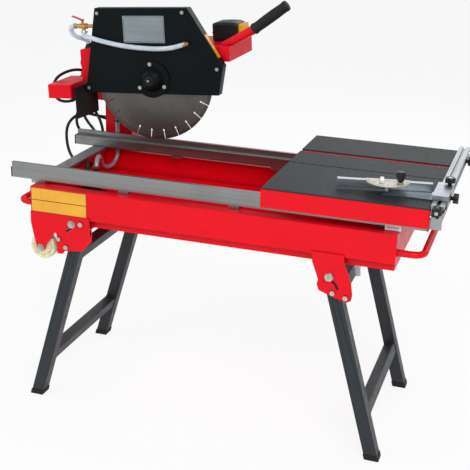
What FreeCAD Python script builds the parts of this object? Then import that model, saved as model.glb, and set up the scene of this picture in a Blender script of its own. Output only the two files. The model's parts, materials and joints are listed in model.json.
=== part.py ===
import FreeCAD, Part
import math
import os
import re

import Sketcher

# Wet table saw for tiles and stone: red sheet frame with a water pan, two stepped aluminium
# rails, a rubber-faced cart on the rails, two folding leg frames, and a cutting head that
# tilts on a column behind the far rail.
#
# The model is laid out with x = 0 at the rails' left ends, y = 0 midway between the rails and
# z = 0 on the floor. The last step moves everything so that the origin is at the bottom
# centre of the whole machine.

os.makedirs("parts", exist_ok=True)
V = FreeCAD.Vector
doc = FreeCAD.newDocument("TileCutter")

SIZES = [
    # rails
    ("rail_length", 1100),
    ("rail_inset", 29),
    ("rail_width", 25),
    ("rail_height", 42),
    ("rail_lip", 10),
    ("rail_step", 15),
    ("rail_wall", 2.5),
    ("groove_depth", 2),
    ("groove_inset", 4),
    ("rail_top", 668),
    ("cap_thick", 3),
    # water table frame
    ("tray_left", 69),
    ("tray_length", 967),
    ("tray_half", 226),
    ("tray_top", 617),
    ("panel_height", 75),
    ("end_flange", 22),
    ("flange_top", 34),
    ("flange_low", 16),
    ("frame_sheet", 2),
    ("pan_drop", 24),
    ("pan_gap", 1),
    ("drain_inset", 111),
    ("drain_y", 110),
    ("grommet_y", 115),
    ("bar_width", 40),
    ("bar_overhang", 12),
    ("spacer_length", 28),
    ("spacer_pitch", 300),
    ("handle_tube_d", 17),
    ("handle_half", 205),
    ("handle_drop", 51),
    ("handle_reach_right", 62),
    ("handle_reach_left", 44),
    ("label_length", 158),
    ("label_height", 32),
    ("label_thick", 0.8),
    ("label_margin", 3),
    # leg brackets and legs
    ("bracket_plate", 4),
    ("bracket_rise", 7),
    ("latch_slot", 7),
    ("leg_width", 34),
    ("leg_depth", 35),
    ("leg_wall", 2),
    ("leg_clear", 0.5),
    ("leg_splay", 16),
    ("leg_top", 18),
    ("leg_left_x", 201),
    ("leg_right_x", 880),
    ("leg_pivot_z", 488),
    ("leg_pin_r", 6),
    ("leg_bar", 30),
    ("leg_bar_up", 52),
    ("leg_bar_low", 380),
    ("foot_height", 14),
    ("foot_wall", 1.5),
    ("bolt_r", 8),
    ("bolt_head", 6),
    ("wheel_x", 95),
    ("wheel_z", 450),
    ("wheel_r", 36),
    ("wheel_width", 24),
    ("axle_r", 5),
    ("running_gap", 0.08),
    # column and pivot
    ("column_left", 72),
    ("column_width", 86),
    ("column_depth", 56),
    ("column_bottom", 500),
    ("column_top", 790),
    ("arm_height", 38),
    ("pivot_x", 0.5),
    ("pivot_z", 801),
    ("pivot_r", 12.5),
    ("bush_r", 22),
    # head, measured from the blade's centre with the head level
    ("head_tilt", 4),
    ("blade_setback", 89.3),
    ("blade_rise", 30.6),
    ("blade_r", 175),
    ("blade_core", 2.4),
    ("blade_rim", 3.2),
    ("blade_rim_width", 10),
    ("blade_slots", 25),
    ("blade_y", 154),
    ("shaft_r", 12.5),
    ("flange_r", 45),
    ("guard_near", 138),
    ("guard_depth", 30),
    ("guard_sheet", 3),
    ("guard_above", 21),
    ("guard_front", 36),
    ("guard_front_low", 20),
    ("guard_rear", 35),
    ("guard_rear_top", 12),
    ("guard_cut", 61),
    ("guard_shoulder", 38),
    ("guard_bottom", 42),
    ("hood_depth", 206),
    ("hood_sheet", 3),
    ("hood_top", 88),
    ("hood_front", 221),
    ("hood_inset", 30.3),
    ("hood_fall", 13),
    ("hood_crest", -150),
    ("hood_shallow", 41),
    ("beam_width", 71),
    ("beam_height", 39),
    ("beam_near", 80),
    ("beam_gap", 2),
    ("sleeve_length", 38),
    ("beam_wall", 3),
    ("motor_r", 68),
    ("motor_length", 150),
    ("fan_length", 32),
    ("housing_r", 52),
    ("housing_depth", 26),
    ("flap_start", 80),
    ("flap_width", 120),
    ("flap_height", 90),
    ("flap_thick", 4),
    ("grip_r", 15.5),
    ("grip_length", 119),
    ("grip_angle", 34),
    ("tube_r", 12.5),
    ("tube_rise", 27.5),
    ("tube_length", 98),
    ("box_length", 78),
    ("box_depth", 72),
    ("box_height", 54),
    ("plate_thick", 12),
    ("button_r", 8),
    ("button_clear", 0.5),
    ("button_inset", 24),
    ("button_pitch", 24),
    ("button_sunk", 6),
    ("button_travel", 2),
    ("hose_r", 7),
    ("lead_r", 4.3),
    # cart
    ("cart_left", 697),
    ("cart_length", 409),
    ("cart_near", 225),
    ("cart_far", 329),
    ("cart_rise", 23),
    ("cart_sheet", 2),
    ("mat_thick", 4),
    ("skirt_height", 46),
    ("end_skirt", 14),
    ("slot_width", 9),
    ("slot_bare", 22),
    ("slot_stop", 20),
    ("seam_y", 25),
    ("seam_width", 5),
    ("glide_length", 50),
    # fence and mitre gauge
    ("fence_width", 30),
    ("fence_height", 27),
    ("knob_r", 13),
    ("knob_far_y", 241),
    ("slider_near", -183),
    ("slider_far", -70),
    ("slider_gap", 0.4),
    ("gauge_inset", 118),
    ("gauge_y", 135),
    ("gauge_yaw", 11.2),
    ("gauge_height", 27),
    ("gauge_left", 121),
    ("gauge_right", 108),
    ("dial_r", 53),
]

sheet = doc.addObject("Spreadsheet::Sheet", "Sizes")
for row, (alias, value) in enumerate(SIZES, start=1):
    sheet.set(f"A{row}", alias)
    sheet.set(f"B{row}", str(value))
    sheet.setAlias(f"B{row}", alias)
doc.recompute()
NAMES = {alias for alias, value in SIZES}
# Sizes that follow from others.
FOLLOWS = {
    "rail_half": "(tray_half - rail_inset)",
    "blade_reach": "(blade_r + blade_setback)",
    "hood_rear": "(blade_r + blade_setback - hood_inset)",
    "guard_top": "(blade_r + guard_above)",
    "gauge_x": "(cart_left + cart_length - gauge_inset)",
}


def size(alias):
    """The number in the sheet under this alias."""
    return float(sheet.get(alias))


def link(text):
    """An expression in plain aliases, with each alias pointed at the sheet."""

    def spell(match):
        word = match.group()
        if word in FOLLOWS:
            return link(FOLLOWS[word])
        return "Sizes." + word if word in NAMES else word

    return re.sub(r"[a-z][a-z_]*", spell, text)


def bind(item, **properties):
    for name, text in properties.items():
        item.setExpression(name, link(text))


def put(item, place):
    for axis, text in zip("xyz", place):
        item.setExpression("Placement.Base." + axis, link(text))


# Shorthand for places that several pieces share.
RAIL_BOTTOM = "(rail_top - rail_height)"
LEDGE = "(rail_top - rail_step)"
TRAY_RIGHT = "(tray_left + tray_length)"
PANEL_BOTTOM = "(tray_top - panel_height)"
PAN_BOTTOM = "(tray_top - panel_height + frame_sheet - pan_drop)"
CHEEK_OUT = "(tray_half + bracket_plate)"
LEG_OUT = "(tray_half - leg_clear)"
LEG_IN = "(tray_half - leg_clear - leg_depth)"
CX = "(pivot_x + blade_reach)"
CZ = "(pivot_z + blade_rise)"
GUARD_FAR = "(guard_near + guard_depth)"
HOOD_FAR = "(guard_near + guard_depth + hood_depth)"
CART_RIGHT = "(cart_left + cart_length)"
CART_TOP = "(rail_top + cart_rise)"
PLATE_TOP = "(rail_top + cart_rise - mat_thick)"
COLUMN_NEAR = "(tray_half + bracket_plate)"
COLUMN_FAR = "(tray_half + bracket_plate + column_depth)"

ALONG = {
    "x": FreeCAD.Rotation(V(0, 1, 0), 90),
    "y": FreeCAD.Rotation(V(1, 0, 0), -90),
    "z": FreeCAD.Rotation(),
}


def box(name, lengths, place):
    item = doc.addObject("Part::Box", name)
    bind(item, Length=lengths[0], Width=lengths[1], Height=lengths[2])
    put(item, place)
    return item


def cylinder(name, radius, length, axis, place):
    """A cylinder that starts at place and runs along +axis."""
    item = doc.addObject("Part::Cylinder", name)
    item.Placement = FreeCAD.Placement(V(), ALONG[axis])
    bind(item, Radius=radius, Height=length)
    put(item, place)
    return item


def hexagon(name, radius, length, axis, place):
    item = doc.addObject("Part::Prism", name)
    item.Polygon = 6
    item.Placement = FreeCAD.Placement(V(), ALONG[axis])
    bind(item, Circumradius=radius, Height=length)
    put(item, place)
    return item


def cut(name, base, *tools):
    item = doc.addObject("Part::Cut", name)
    item.Base = base
    if len(tools) == 1:
        item.Tool = tools[0]
    else:
        item.Tool = fuse(name + "_tools", *tools)
    return item


def fuse(name, *shapes):
    item = doc.addObject("Part::MultiFuse", name)
    item.Shapes = list(shapes)
    item.Refine = True
    return item


def common(name, first, second):
    item = doc.addObject("Part::MultiCommon", name)
    item.Shapes = [first, second]
    return item


def group(name, *shapes):
    """Separate solids that share one node."""
    item = doc.addObject("Part::Compound", name)
    item.Links = list(shapes)
    return item


def body(name):
    return doc.addObject("PartDesign::Body", name)


def origin_plane(owner, role):
    for feature in owner.Origin.OriginFeatures:
        if feature.Role == role:
            return feature
    raise RuntimeError(role)


def sketch(owner, name, role, points, origin=("0", "0", "0"), circles=()):
    """A closed outline of straight lines, each corner held by its own two distances."""
    item = owner.newObject("Sketcher::SketchObject", name)
    item.AttachmentSupport = [(origin_plane(owner, role), "")]
    item.MapMode = "FlatFace"
    for axis, text in zip("xyz", origin):
        item.setExpression("AttachmentOffset.Base." + axis, link(text))
    count = len(points)
    start = []
    for k in range(count):
        turn = 2 * math.pi * k / count
        start.append(V(100 * math.cos(turn), 100 * math.sin(turn), 0))
    for k in range(count):
        item.addGeometry(Part.LineSegment(start[k], start[(k + 1) % count]))
    for k in range(count):
        item.addConstraint(Sketcher.Constraint("Coincident", k, 2, (k + 1) % count, 1))
    for k, (across, up) in enumerate(points):
        for kind, text in (("DistanceX", across), ("DistanceY", up)):
            place = item.addConstraint(Sketcher.Constraint(kind, -1, 1, k, 1, 1.0))
            item.setExpression(f"Constraints[{place}]", link(text))
    for across, up, radius in circles:
        ring = item.addGeometry(Part.Circle(V(0, 0, 0), V(0, 0, 1), 5))
        place = item.addConstraint(Sketcher.Constraint("Radius", ring, 5))
        item.setExpression(f"Constraints[{place}]", link(radius))
        for kind, text in (("DistanceX", across), ("DistanceY", up)):
            place = item.addConstraint(Sketcher.Constraint(kind, -1, 1, ring, 3, 1.0))
            item.setExpression(f"Constraints[{place}]", link(text))
    return item


def pad(owner, name, profile, length, reverse=False):
    item = owner.newObject("PartDesign::Pad", name)
    item.Profile = profile
    item.setExpression("Length", link(length))
    item.Reversed = reverse
    owner.Tip = item
    return item


def pocket(owner, name, profile, length, reverse=False):
    """A cut against the sketch's normal, or along it if reversed; one that removes nothing is refused."""
    doc.recompute()
    before = owner.Shape.Volume
    item = owner.newObject("PartDesign::Pocket", name)
    item.Profile = profile
    item.setExpression("Length", link(length))
    item.Reversed = reverse
    owner.Tip = item
    doc.recompute()
    if owner.Shape.Volume > before - 0.1:
        raise RuntimeError(name + " removes nothing")
    return item


def plate_xz(name, points, y_start, thick, at=("0", "0"), circles=()):
    """A flat plate in the XZ plane from y_start towards +Y."""
    owner = body(name)
    profile = sketch(owner, name + "_outline", "XZ_Plane", points, (at[0], at[1], f"-({y_start})"), circles)
    pad(owner, name + "_pad", profile, thick, True)
    return owner


def bar_x(name, points, x_start, length):
    """An extrusion along +X; the outline is in Y and Z."""
    owner = body(name)
    profile = sketch(owner, name + "_outline", "YZ_Plane", points, ("0", "0", x_start))
    pad(owner, name + "_pad", profile, length)
    return owner


def turned(name, points, x_axis, z_axis):
    """A turned piece about a line along Y; the outline is (y, radius)."""
    owner = body(name)
    profile = sketch(owner, name + "_outline", "YZ_Plane", points, ("0", z_axis, x_axis))
    item = owner.newObject("PartDesign::Revolution", name + "_turn")
    item.Profile = profile
    item.ReferenceAxis = (profile, ["H_Axis"])
    item.Angle = 360
    owner.Tip = item
    return owner


def side(sign, near_distance, far_distance):
    """Start and width along Y of a slab between two distances from the centre line."""
    start = f"-({far_distance})" if sign < 0 else near_distance
    return start, f"(({far_distance}) - ({near_distance}))"


def tilted_box(name, lengths, corner, pivot, angle):
    """A box whose corner is given from a pivot (across, y, up) before it turns about Y."""
    item = doc.addObject("Part::Box", name)
    item.Placement = FreeCAD.Placement(V(), FreeCAD.Rotation(V(0, 1, 0), 1))
    bind(item, Length=lengths[0], Width=lengths[1], Height=lengths[2])
    across, y_start, up = corner
    item.setExpression("Placement.Rotation.Angle", link(angle))
    put(
        item,
        (
            f"{pivot[0]} + ({across}) * cos({angle}) + ({up}) * sin({angle})",
            y_start,
            f"{pivot[1]} - ({across}) * sin({angle}) + ({up}) * cos({angle})",
        ),
    )
    return item


NODES = []
BODY_OF = {}


def node(label, item, moves_with="frame"):
    item.Label = label
    NODES.append(item)
    BODY_OF[label] = moves_with
    return item


# ---------------------------------------------------------------- rails
for label, sign in (("rail_near", -1), ("rail_far", 1)):
    outer = f"{sign} * rail_half"
    lip = f"{sign} * (rail_half - rail_lip)"
    inner = f"{sign} * (rail_half - rail_width)"
    groove_out = f"{sign} * (rail_half - rail_lip - groove_inset)"
    groove_in = f"{sign} * (rail_half - rail_width + groove_inset)"
    rail = bar_x(
        label + "_body",
        [
            (outer, RAIL_BOTTOM),
            (outer, "rail_top"),
            (lip, "rail_top"),
            (lip, LEDGE),
            (groove_out, LEDGE),
            (groove_out, f"{LEDGE} - groove_depth"),
            (groove_in, f"{LEDGE} - groove_depth"),
            (groove_in, LEDGE),
            (inner, LEDGE),
            (inner, RAIL_BOTTOM),
        ],
        "0",
        "rail_length",
    )
    hollow = sketch(
        rail,
        label + "_hollow",
        "YZ_Plane",
        [
            (f"{sign} * (rail_half - rail_wall)", f"{RAIL_BOTTOM} + rail_wall"),
            (f"{sign} * (rail_half - rail_wall)", f"{LEDGE} - groove_depth - rail_wall"),
            (f"{sign} * (rail_half - rail_width + rail_wall)", f"{LEDGE} - groove_depth - rail_wall"),
            (f"{sign} * (rail_half - rail_width + rail_wall)", f"{RAIL_BOTTOM} + rail_wall"),
        ],
    )
    pocket(rail, label + "_hollow_cut", hollow, "rail_length", True)
    node(label, rail)

caps = []
for sign in (-1, 1):
    start, width = side(sign, "rail_half - rail_width", "rail_half")
    for end, x_start in (("left", "-cap_thick"), ("right", "rail_length")):
        caps.append(
            box(
                f"cap_{end}_{sign + 1}",
                ("cap_thick", width, f"{LEDGE} - {RAIL_BOTTOM}"),
                (x_start, start, RAIL_BOTTOM),
            )
        )
node("rail_caps", group("caps", *caps))

# ---------------------------------------------------------------- water table frame
# Side panel: top flange turned inwards under the rails, lower flange that carries the pan.
for label, sign in (("frame_side_near", -1), ("frame_side_far", 1)):
    panel = bar_x(
        label + "_body",
        [
            (f"{sign} * tray_half", PANEL_BOTTOM),
            (f"{sign} * tray_half", "tray_top"),
            (f"{sign} * (tray_half - flange_top)", "tray_top"),
            (f"{sign} * (tray_half - flange_top)", "tray_top - frame_sheet"),
            (f"{sign} * (tray_half - frame_sheet)", "tray_top - frame_sheet"),
            (f"{sign} * (tray_half - frame_sheet)", f"{PANEL_BOTTOM} + frame_sheet"),
            (f"{sign} * (tray_half - flange_low)", f"{PANEL_BOTTOM} + frame_sheet"),
            (f"{sign} * (tray_half - flange_low)", PANEL_BOTTOM),
        ],
        "tray_left",
        "tray_length",
    )
    if sign > 0:
        # notch in the far flange for the supply hose on its way up behind the rail
        notch = sketch(
            panel,
            "hose_notch",
            "XY_Plane",
            [
                ("tray_left + 36", "tray_half - flange_top - 1"),
                ("tray_left + 76", "tray_half - flange_top - 1"),
                ("tray_left + 76", "tray_half - 4"),
                ("tray_left + 36", "tray_half - 4"),
            ],
            ("0", "0", "tray_top + 1"),
        )
        pocket(panel, "hose_notch_cut", notch, "frame_sheet + 2")
    node(label, panel)

ends = []
for end, x_start, flange_x in (
    ("left", "tray_left", "tray_left + frame_sheet"),
    ("right", f"{TRAY_RIGHT} - frame_sheet", f"{TRAY_RIGHT} - frame_sheet - end_flange"),
):
    wall = box(
        f"end_wall_{end}",
        ("frame_sheet", "2 * (tray_half - frame_sheet)", "panel_height - frame_sheet"),
        (x_start, "-(tray_half - frame_sheet)", PANEL_BOTTOM),
    )
    flange = box(
        f"end_flange_{end}",
        ("end_flange", "2 * (tray_half - flange_top)", "frame_sheet"),
        (flange_x, "-(tray_half - flange_top)", "tray_top - frame_sheet"),
    )
    lip = box(
        f"end_lip_{end}",
        ("frame_sheet", "2 * (tray_half - flange_top)", "frame_sheet"),
        (x_start, "-(tray_half - flange_top)", "tray_top - frame_sheet"),
    )
    trim_near = box(
        f"end_trim_near_{end}",
        ("tray_length", "flange_low", "frame_sheet"),
        ("tray_left", "-tray_half", PANEL_BOTTOM),
    )
    trim_far = box(
        f"end_trim_far_{end}",
        ("tray_length", "flange_low", "frame_sheet"),
        ("tray_left", "tray_half - flange_low", PANEL_BOTTOM),
    )
    tools = [trim_near, trim_far]
    if end == "left":
        tools.append(
            cylinder("lead_hole", "7", "10", "x", ("tray_left - 4", "grommet_y", f"{PANEL_BOTTOM} + 42"))
        )
    ends.append(cut(f"end_{end}", fuse(f"end_sheet_{end}", wall, flange, lip), *tools))
node("frame_ends", group("ends", *ends))

# Water pan: hangs between the lower flanges by an outward lip.
PAN_HALF = "(tray_half - flange_low - pan_gap)"
LIP_HALF = "(tray_half - frame_sheet - pan_gap)"
PAN_LIP = f"({PANEL_BOTTOM} + frame_sheet)"
PAN_LEFT = "(tray_left + frame_sheet + pan_gap)"
PAN_LENGTH = "(tray_length - 2 * frame_sheet - 2 * pan_gap)"
PAN_INNER = f"({PAN_HALF} - frame_sheet)"
drain_hole = cylinder(
    "drain_hole",
    "5.5",
    "10",
    "z",
    (f"{TRAY_RIGHT} - drain_inset", "-drain_y", f"{PAN_BOTTOM} - 5"),
)
pan_floor = box(
    "pan_floor",
    (PAN_LENGTH, f"2 * {PAN_HALF}", "frame_sheet"),
    (PAN_LEFT, f"-{PAN_HALF}", PAN_BOTTOM),
)
pan_pieces = [cut("pan_drained", pan_floor, drain_hole)]
for name, sign in (("near", -1), ("far", 1)):
    pan_pieces.append(
        bar_x(
            f"pan_rim_{name}",
            [
                (f"{sign} * {PAN_HALF}", f"{PAN_BOTTOM} + frame_sheet"),
                (f"{sign} * {PAN_HALF}", PAN_LIP),
                (f"{sign} * {LIP_HALF}", PAN_LIP),
                (f"{sign} * {LIP_HALF}", f"{PAN_LIP} + frame_sheet"),
                (f"{sign} * {PAN_INNER}", f"{PAN_LIP} + frame_sheet"),
                (f"{sign} * {PAN_INNER}", f"{PAN_BOTTOM} + frame_sheet"),
            ],
            PAN_LEFT,
            PAN_LENGTH,
        )
    )
for name, x_start in (("left", PAN_LEFT), ("right", f"{PAN_LEFT} + {PAN_LENGTH} - frame_sheet")):
    pan_pieces.append(
        box(
            f"pan_end_{name}",
            ("frame_sheet", f"2 * {PAN_INNER}", "pan_drop"),
            (x_start, f"-{PAN_INNER}", f"{PAN_BOTTOM} + frame_sheet"),
        )
    )
node("water_pan", group("pan", *pan_pieces))

# Cross bars and spacers between the tray's top flange and the rails.
bars = []
for end, x_start in (("left", "tray_left - bar_overhang"), ("right", f"{TRAY_RIGHT} + 4 - bar_width")):
    bars.append(
        box(
            f"bar_{end}",
            ("bar_width", "2 * rail_half", f"{RAIL_BOTTOM} - tray_top"),
            (x_start, "-rail_half", "tray_top"),
        )
    )
for number in (1, 2):
    for sign in (-1, 1):
        start, width = side(sign, "rail_half - rail_width", "rail_half")
        bars.append(
            box(
                f"spacer_{number}_{sign + 1}",
                ("spacer_length", width, f"{RAIL_BOTTOM} - tray_top"),
                (f"{number} * spacer_pitch + 7", start, "tray_top"),
            )
        )
node("cross_bars", group("bars", *bars))

# Lifting handles: bent tubes welded to the end panels.
HANDLE_Z = "(tray_top - handle_drop)"


def bent_tube(name, x_weld, reach):
    """A U of round tube in a level plane, both ends on an end panel."""
    half = size("handle_half")
    level = size("tray_top") - size("handle_drop")
    bend = min(26.0, abs(reach) * 0.6)
    sign = 1 if reach > 0 else -1
    corner = bend * (1 - math.sqrt(0.5))
    tip = x_weld + reach
    edges = [
        Part.LineSegment(V(x_weld, -half, level), V(tip - sign * bend, -half, level)),
        Part.Arc(
            V(tip - sign * bend, -half, level),
            V(tip - sign * corner, -half + corner, level),
            V(tip, -half + bend, level),
        ),
        Part.LineSegment(V(tip, -half + bend, level), V(tip, half - bend, level)),
        Part.Arc(
            V(tip, half - bend, level),
            V(tip - sign * corner, half - corner, level),
            V(tip - sign * bend, half, level),
        ),
        Part.LineSegment(V(tip - sign * bend, half, level), V(x_weld, half, level)),
    ]
    path = Part.Wire([edge.toShape() for edge in edges])
    ring = Part.Wire(Part.Circle(V(x_weld, -half, level), V(1, 0, 0), size("handle_tube_d") / 2).toShape())
    item = doc.addObject("Part::Feature", name)
    item.Shape = path.makePipeShell([ring], True, False)
    return item


tray_right = size("tray_left") + size("tray_length")
node(
    "lift_handles",
    group(
        "handles",
        bent_tube("handle_right", tray_right, size("handle_reach_right")),
        bent_tube("handle_left", size("tray_left"), -size("handle_reach_left")),
    ),
)

# Two bare label plates on the near panel.
labels = []
for number in (0, 1):
    labels.append(
        box(
            f"label_{number}",
            ("label_length", "label_thick", "label_height"),
            (
                "tray_left + label_margin",
                "-(tray_half + label_thick)",
                f"tray_top - label_margin - {number + 1} * label_height - {number} * label_thick",
            ),
        )
    )
node("label_plates", group("labels", *labels))

# ---------------------------------------------------------------- leg brackets
# Left bracket: a lobe for the wheel, a notch, and a lobe for the leg pivot.
LEFT_OUTLINE = [
    ("tray_left", f"{PANEL_BOTTOM} + bracket_rise"),
    ("tray_left", f"{PANEL_BOTTOM} - 25"),
    ("wheel_x - 14", "wheel_z + 12"),
    ("wheel_x - 12", "wheel_z - 3"),
    ("wheel_x - 5", "wheel_z - 10"),
    ("wheel_x + 6", "wheel_z - 10"),
    ("wheel_x + 14", "wheel_z - 2"),
    ("wheel_x + 17", "wheel_z + 9"),
    ("leg_left_x - 61", "leg_pivot_z + 11"),
    ("leg_left_x - 58", "leg_pivot_z + 5"),
    ("leg_left_x - 57", "leg_pivot_z - 48"),
    ("leg_left_x - 41", "leg_pivot_z - 47"),
    ("leg_left_x - 35", "leg_pivot_z - 38"),
    ("leg_left_x + 5", "leg_pivot_z - 34"),
    ("leg_left_x + 17", "leg_pivot_z - 31"),
    ("leg_left_x + 43", "leg_pivot_z - 2"),
    ("leg_left_x + 43", "leg_pivot_z + 7"),
    ("leg_left_x + 37", "leg_pivot_z + 19"),
    ("leg_left_x + 38", "leg_pivot_z + 44"),
    ("leg_left_x + 38", f"{PANEL_BOTTOM} + bracket_rise"),
]
# Right bracket: a tapering plate with a hooked lower end.
RIGHT_OUTLINE = [
    ("leg_right_x - 48", f"{PANEL_BOTTOM} + bracket_rise"),
    ("leg_right_x - 44", "leg_pivot_z + 34"),
    ("leg_right_x - 27", "leg_pivot_z - 10"),
    ("leg_right_x - 30", "leg_pivot_z - 22"),
    ("leg_right_x - 24", "leg_pivot_z - 38"),
    ("leg_right_x - 2", "leg_pivot_z - 46"),
    ("leg_right_x + 46", "leg_pivot_z - 61"),
    ("leg_right_x + 58", "leg_pivot_z - 54"),
    ("leg_right_x + 60", "leg_pivot_z - 40"),
    ("leg_right_x + 55", "leg_pivot_z - 8"),
    ("leg_right_x + 36", "leg_pivot_z + 38"),
    ("leg_right_x + 33", f"{PANEL_BOTTOM} + bracket_rise"),
]
INNER_OUT = f"({LEG_IN} - leg_clear)"


def bracket(name, sign, outline, pivot_x, slot, web, wheel):
    """Outer cheek, top web under the pan and inner cheek, with bolt holes and a latch slot.

    A bracket with a wheel fork hides the leg's pivot pin behind its outer cheek.
    """
    start, width = side(sign, "tray_half", CHEEK_OUT)
    pivot_hole = (pivot_x, "leg_pivot_z", "leg_pin_r + running_gap")
    axle_hole = ("wheel_x", "wheel_z", "axle_r + running_gap")
    outer = plate_xz(name + "_outer", outline, start, width, circles=[axle_hole if wheel else pivot_hole])
    tools = []
    for number, (across, up, length, angle) in enumerate(slot):
        tools.append(
            tilted_box(
                f"{name}_slot_{number}",
                (length, "bracket_plate + 2", "latch_slot"),
                ("0", f"{start} - 1", "0"),
                (across, up),
                angle,
            )
        )
    outer_cut = cut(name + "_slotted", outer, *tools)
    inner_start, inner_width = side(sign, f"{INNER_OUT} - bracket_plate", INNER_OUT)
    inner = plate_xz(
        name + "_inner",
        [
            (f"{pivot_x} - 24", PAN_BOTTOM),
            (f"{pivot_x} - 24", "leg_pivot_z - 6"),
            (f"{pivot_x} - 12", "leg_pivot_z - 22"),
            (f"{pivot_x} + 12", "leg_pivot_z - 22"),
            (f"{pivot_x} + 24", "leg_pivot_z - 6"),
            (f"{pivot_x} + 24", PAN_BOTTOM),
        ],
        inner_start,
        inner_width,
        circles=[pivot_hole],
    )
    web_start, web_width = side(sign, INNER_OUT, "tray_half")
    top = box(
        name + "_web",
        (f"{web[1]} - ({web[0]})", web_width, "bracket_plate"),
        (web[0], web_start, f"{PAN_BOTTOM} - bracket_plate"),
    )
    pieces = [outer_cut, inner, top]
    if wheel:
        # inner cheek of the wheel fork
        fork = plate_xz(
            name + "_fork",
            [
                ("wheel_x - 18", PAN_BOTTOM),
                ("wheel_x - 12", "wheel_z"),
                ("wheel_x - 5", "wheel_z - 9"),
                ("wheel_x + 5", "wheel_z - 9"),
                ("wheel_x + 12", "wheel_z"),
                ("wheel_x + 18", PAN_BOTTOM),
            ],
            inner_start,
            inner_width,
            circles=[axle_hole],
        )
        pieces.append(fork)
    return fuse(name, *pieces)


left_brackets = []
right_brackets = []
for sign in (-1, 1):
    left_brackets.append(
        bracket(
            f"bracket_left_{sign + 1}",
            sign,
            LEFT_OUTLINE,
            "leg_left_x",
            [("leg_left_x - 26.5", "leg_pivot_z + 14.7", "20", "-33")],
            ("tray_left + 4", "leg_left_x + 38"),
            True,
        )
    )
    right_brackets.append(
        bracket(
            f"bracket_right_{sign + 1}",
            sign,
            RIGHT_OUTLINE,
            "leg_right_x",
            [
                ("leg_right_x + 6", "leg_pivot_z - 12", "14", "40"),
                ("leg_right_x + 15", "leg_pivot_z - 21", "12", "62"),
            ],
            ("leg_right_x - 44", "leg_right_x + 33"),
            False,
        )
    )
node("brackets_left", group("left_pair", *left_brackets))
node("brackets_right", group("right_pair", *right_brackets))

# Bolts: pivot pins of the left legs behind the outer cheeks, pivot bolts of the right legs
# through both cheeks, wheel axle bolts, and short bolt heads on the cheeks.
PIN_START = f"({INNER_OUT} - bracket_plate - 3)"
bolts = []
for sign in (-1, 1):
    blind_start, blind = side(sign, PIN_START, "tray_half")
    bolts.append(
        cylinder(
            f"pivot_pin_left_{sign + 1}",
            "leg_pin_r",
            blind,
            "y",
            ("leg_left_x", blind_start, "leg_pivot_z"),
        )
    )
    head_start = f"-({CHEEK_OUT} + bolt_head)" if sign < 0 else CHEEK_OUT
    shank_start, shank = side(sign, PIN_START, CHEEK_OUT)
    head = hexagon(
        f"pivot_head_right_{sign + 1}", "bolt_r + 2", "bolt_head", "y", (
            "leg_right_x",
            head_start,
            "leg_pivot_z",
        )
    )
    pin = cylinder(
        f"pivot_pin_right_{sign + 1}",
        "leg_pin_r",
        shank,
        "y",
        ("leg_right_x", shank_start, "leg_pivot_z"),
    )
    bolts.append(fuse(f"pivot_bolt_right_{sign + 1}", head, pin))
    head = hexagon(f"axle_head_{sign + 1}", "bolt_r", "bolt_head", "y", ("wheel_x", head_start, "wheel_z"))
    pin = cylinder(f"axle_pin_{sign + 1}", "axle_r", shank, "y", ("wheel_x", shank_start, "wheel_z"))
    bolts.append(fuse(f"axle_bolt_{sign + 1}", head, pin))
    spots = [
        ("latch", "bolt_r + 1", "leg_left_x - 13", "leg_pivot_z + 39"),
        ("upper", "bolt_r - 1", "leg_left_x + 14", "leg_pivot_z + 43"),
        ("edge", "bolt_r - 2", "leg_left_x - 50", "leg_pivot_z - 6"),
        ("low", "bolt_r - 1", "leg_left_x - 30", "leg_pivot_z - 27"),
        ("hook", "bolt_r - 1", "leg_right_x + 11", "leg_pivot_z - 40"),
        ("tip", "bolt_r - 1", "leg_right_x + 44", "leg_pivot_z - 48"),
    ]
    for name, radius, across, up in spots:
        bolt_start = f"-({CHEEK_OUT} + bolt_head - 1)" if sign < 0 else CHEEK_OUT
        bolts.append(
            hexagon(f"bolt_{name}_{sign + 1}", radius, "bolt_head - 1", "y", (across, bolt_start, up))
        )
for number, up in enumerate(("column_bottom + 12", "column_bottom + 36")):
    bolts.append(
        hexagon(
            f"column_bolt_{number}",
            "bolt_r",
            "bolt_head",
            "y",
            ("column_left + column_width / 2", COLUMN_FAR, up),
        )
    )
node("frame_bolts", group("bolts", *bolts))

# ---------------------------------------------------------------- folding leg frames
LEG_REACH = "(leg_pivot_z / cos(leg_splay) + leg_width)"


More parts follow.
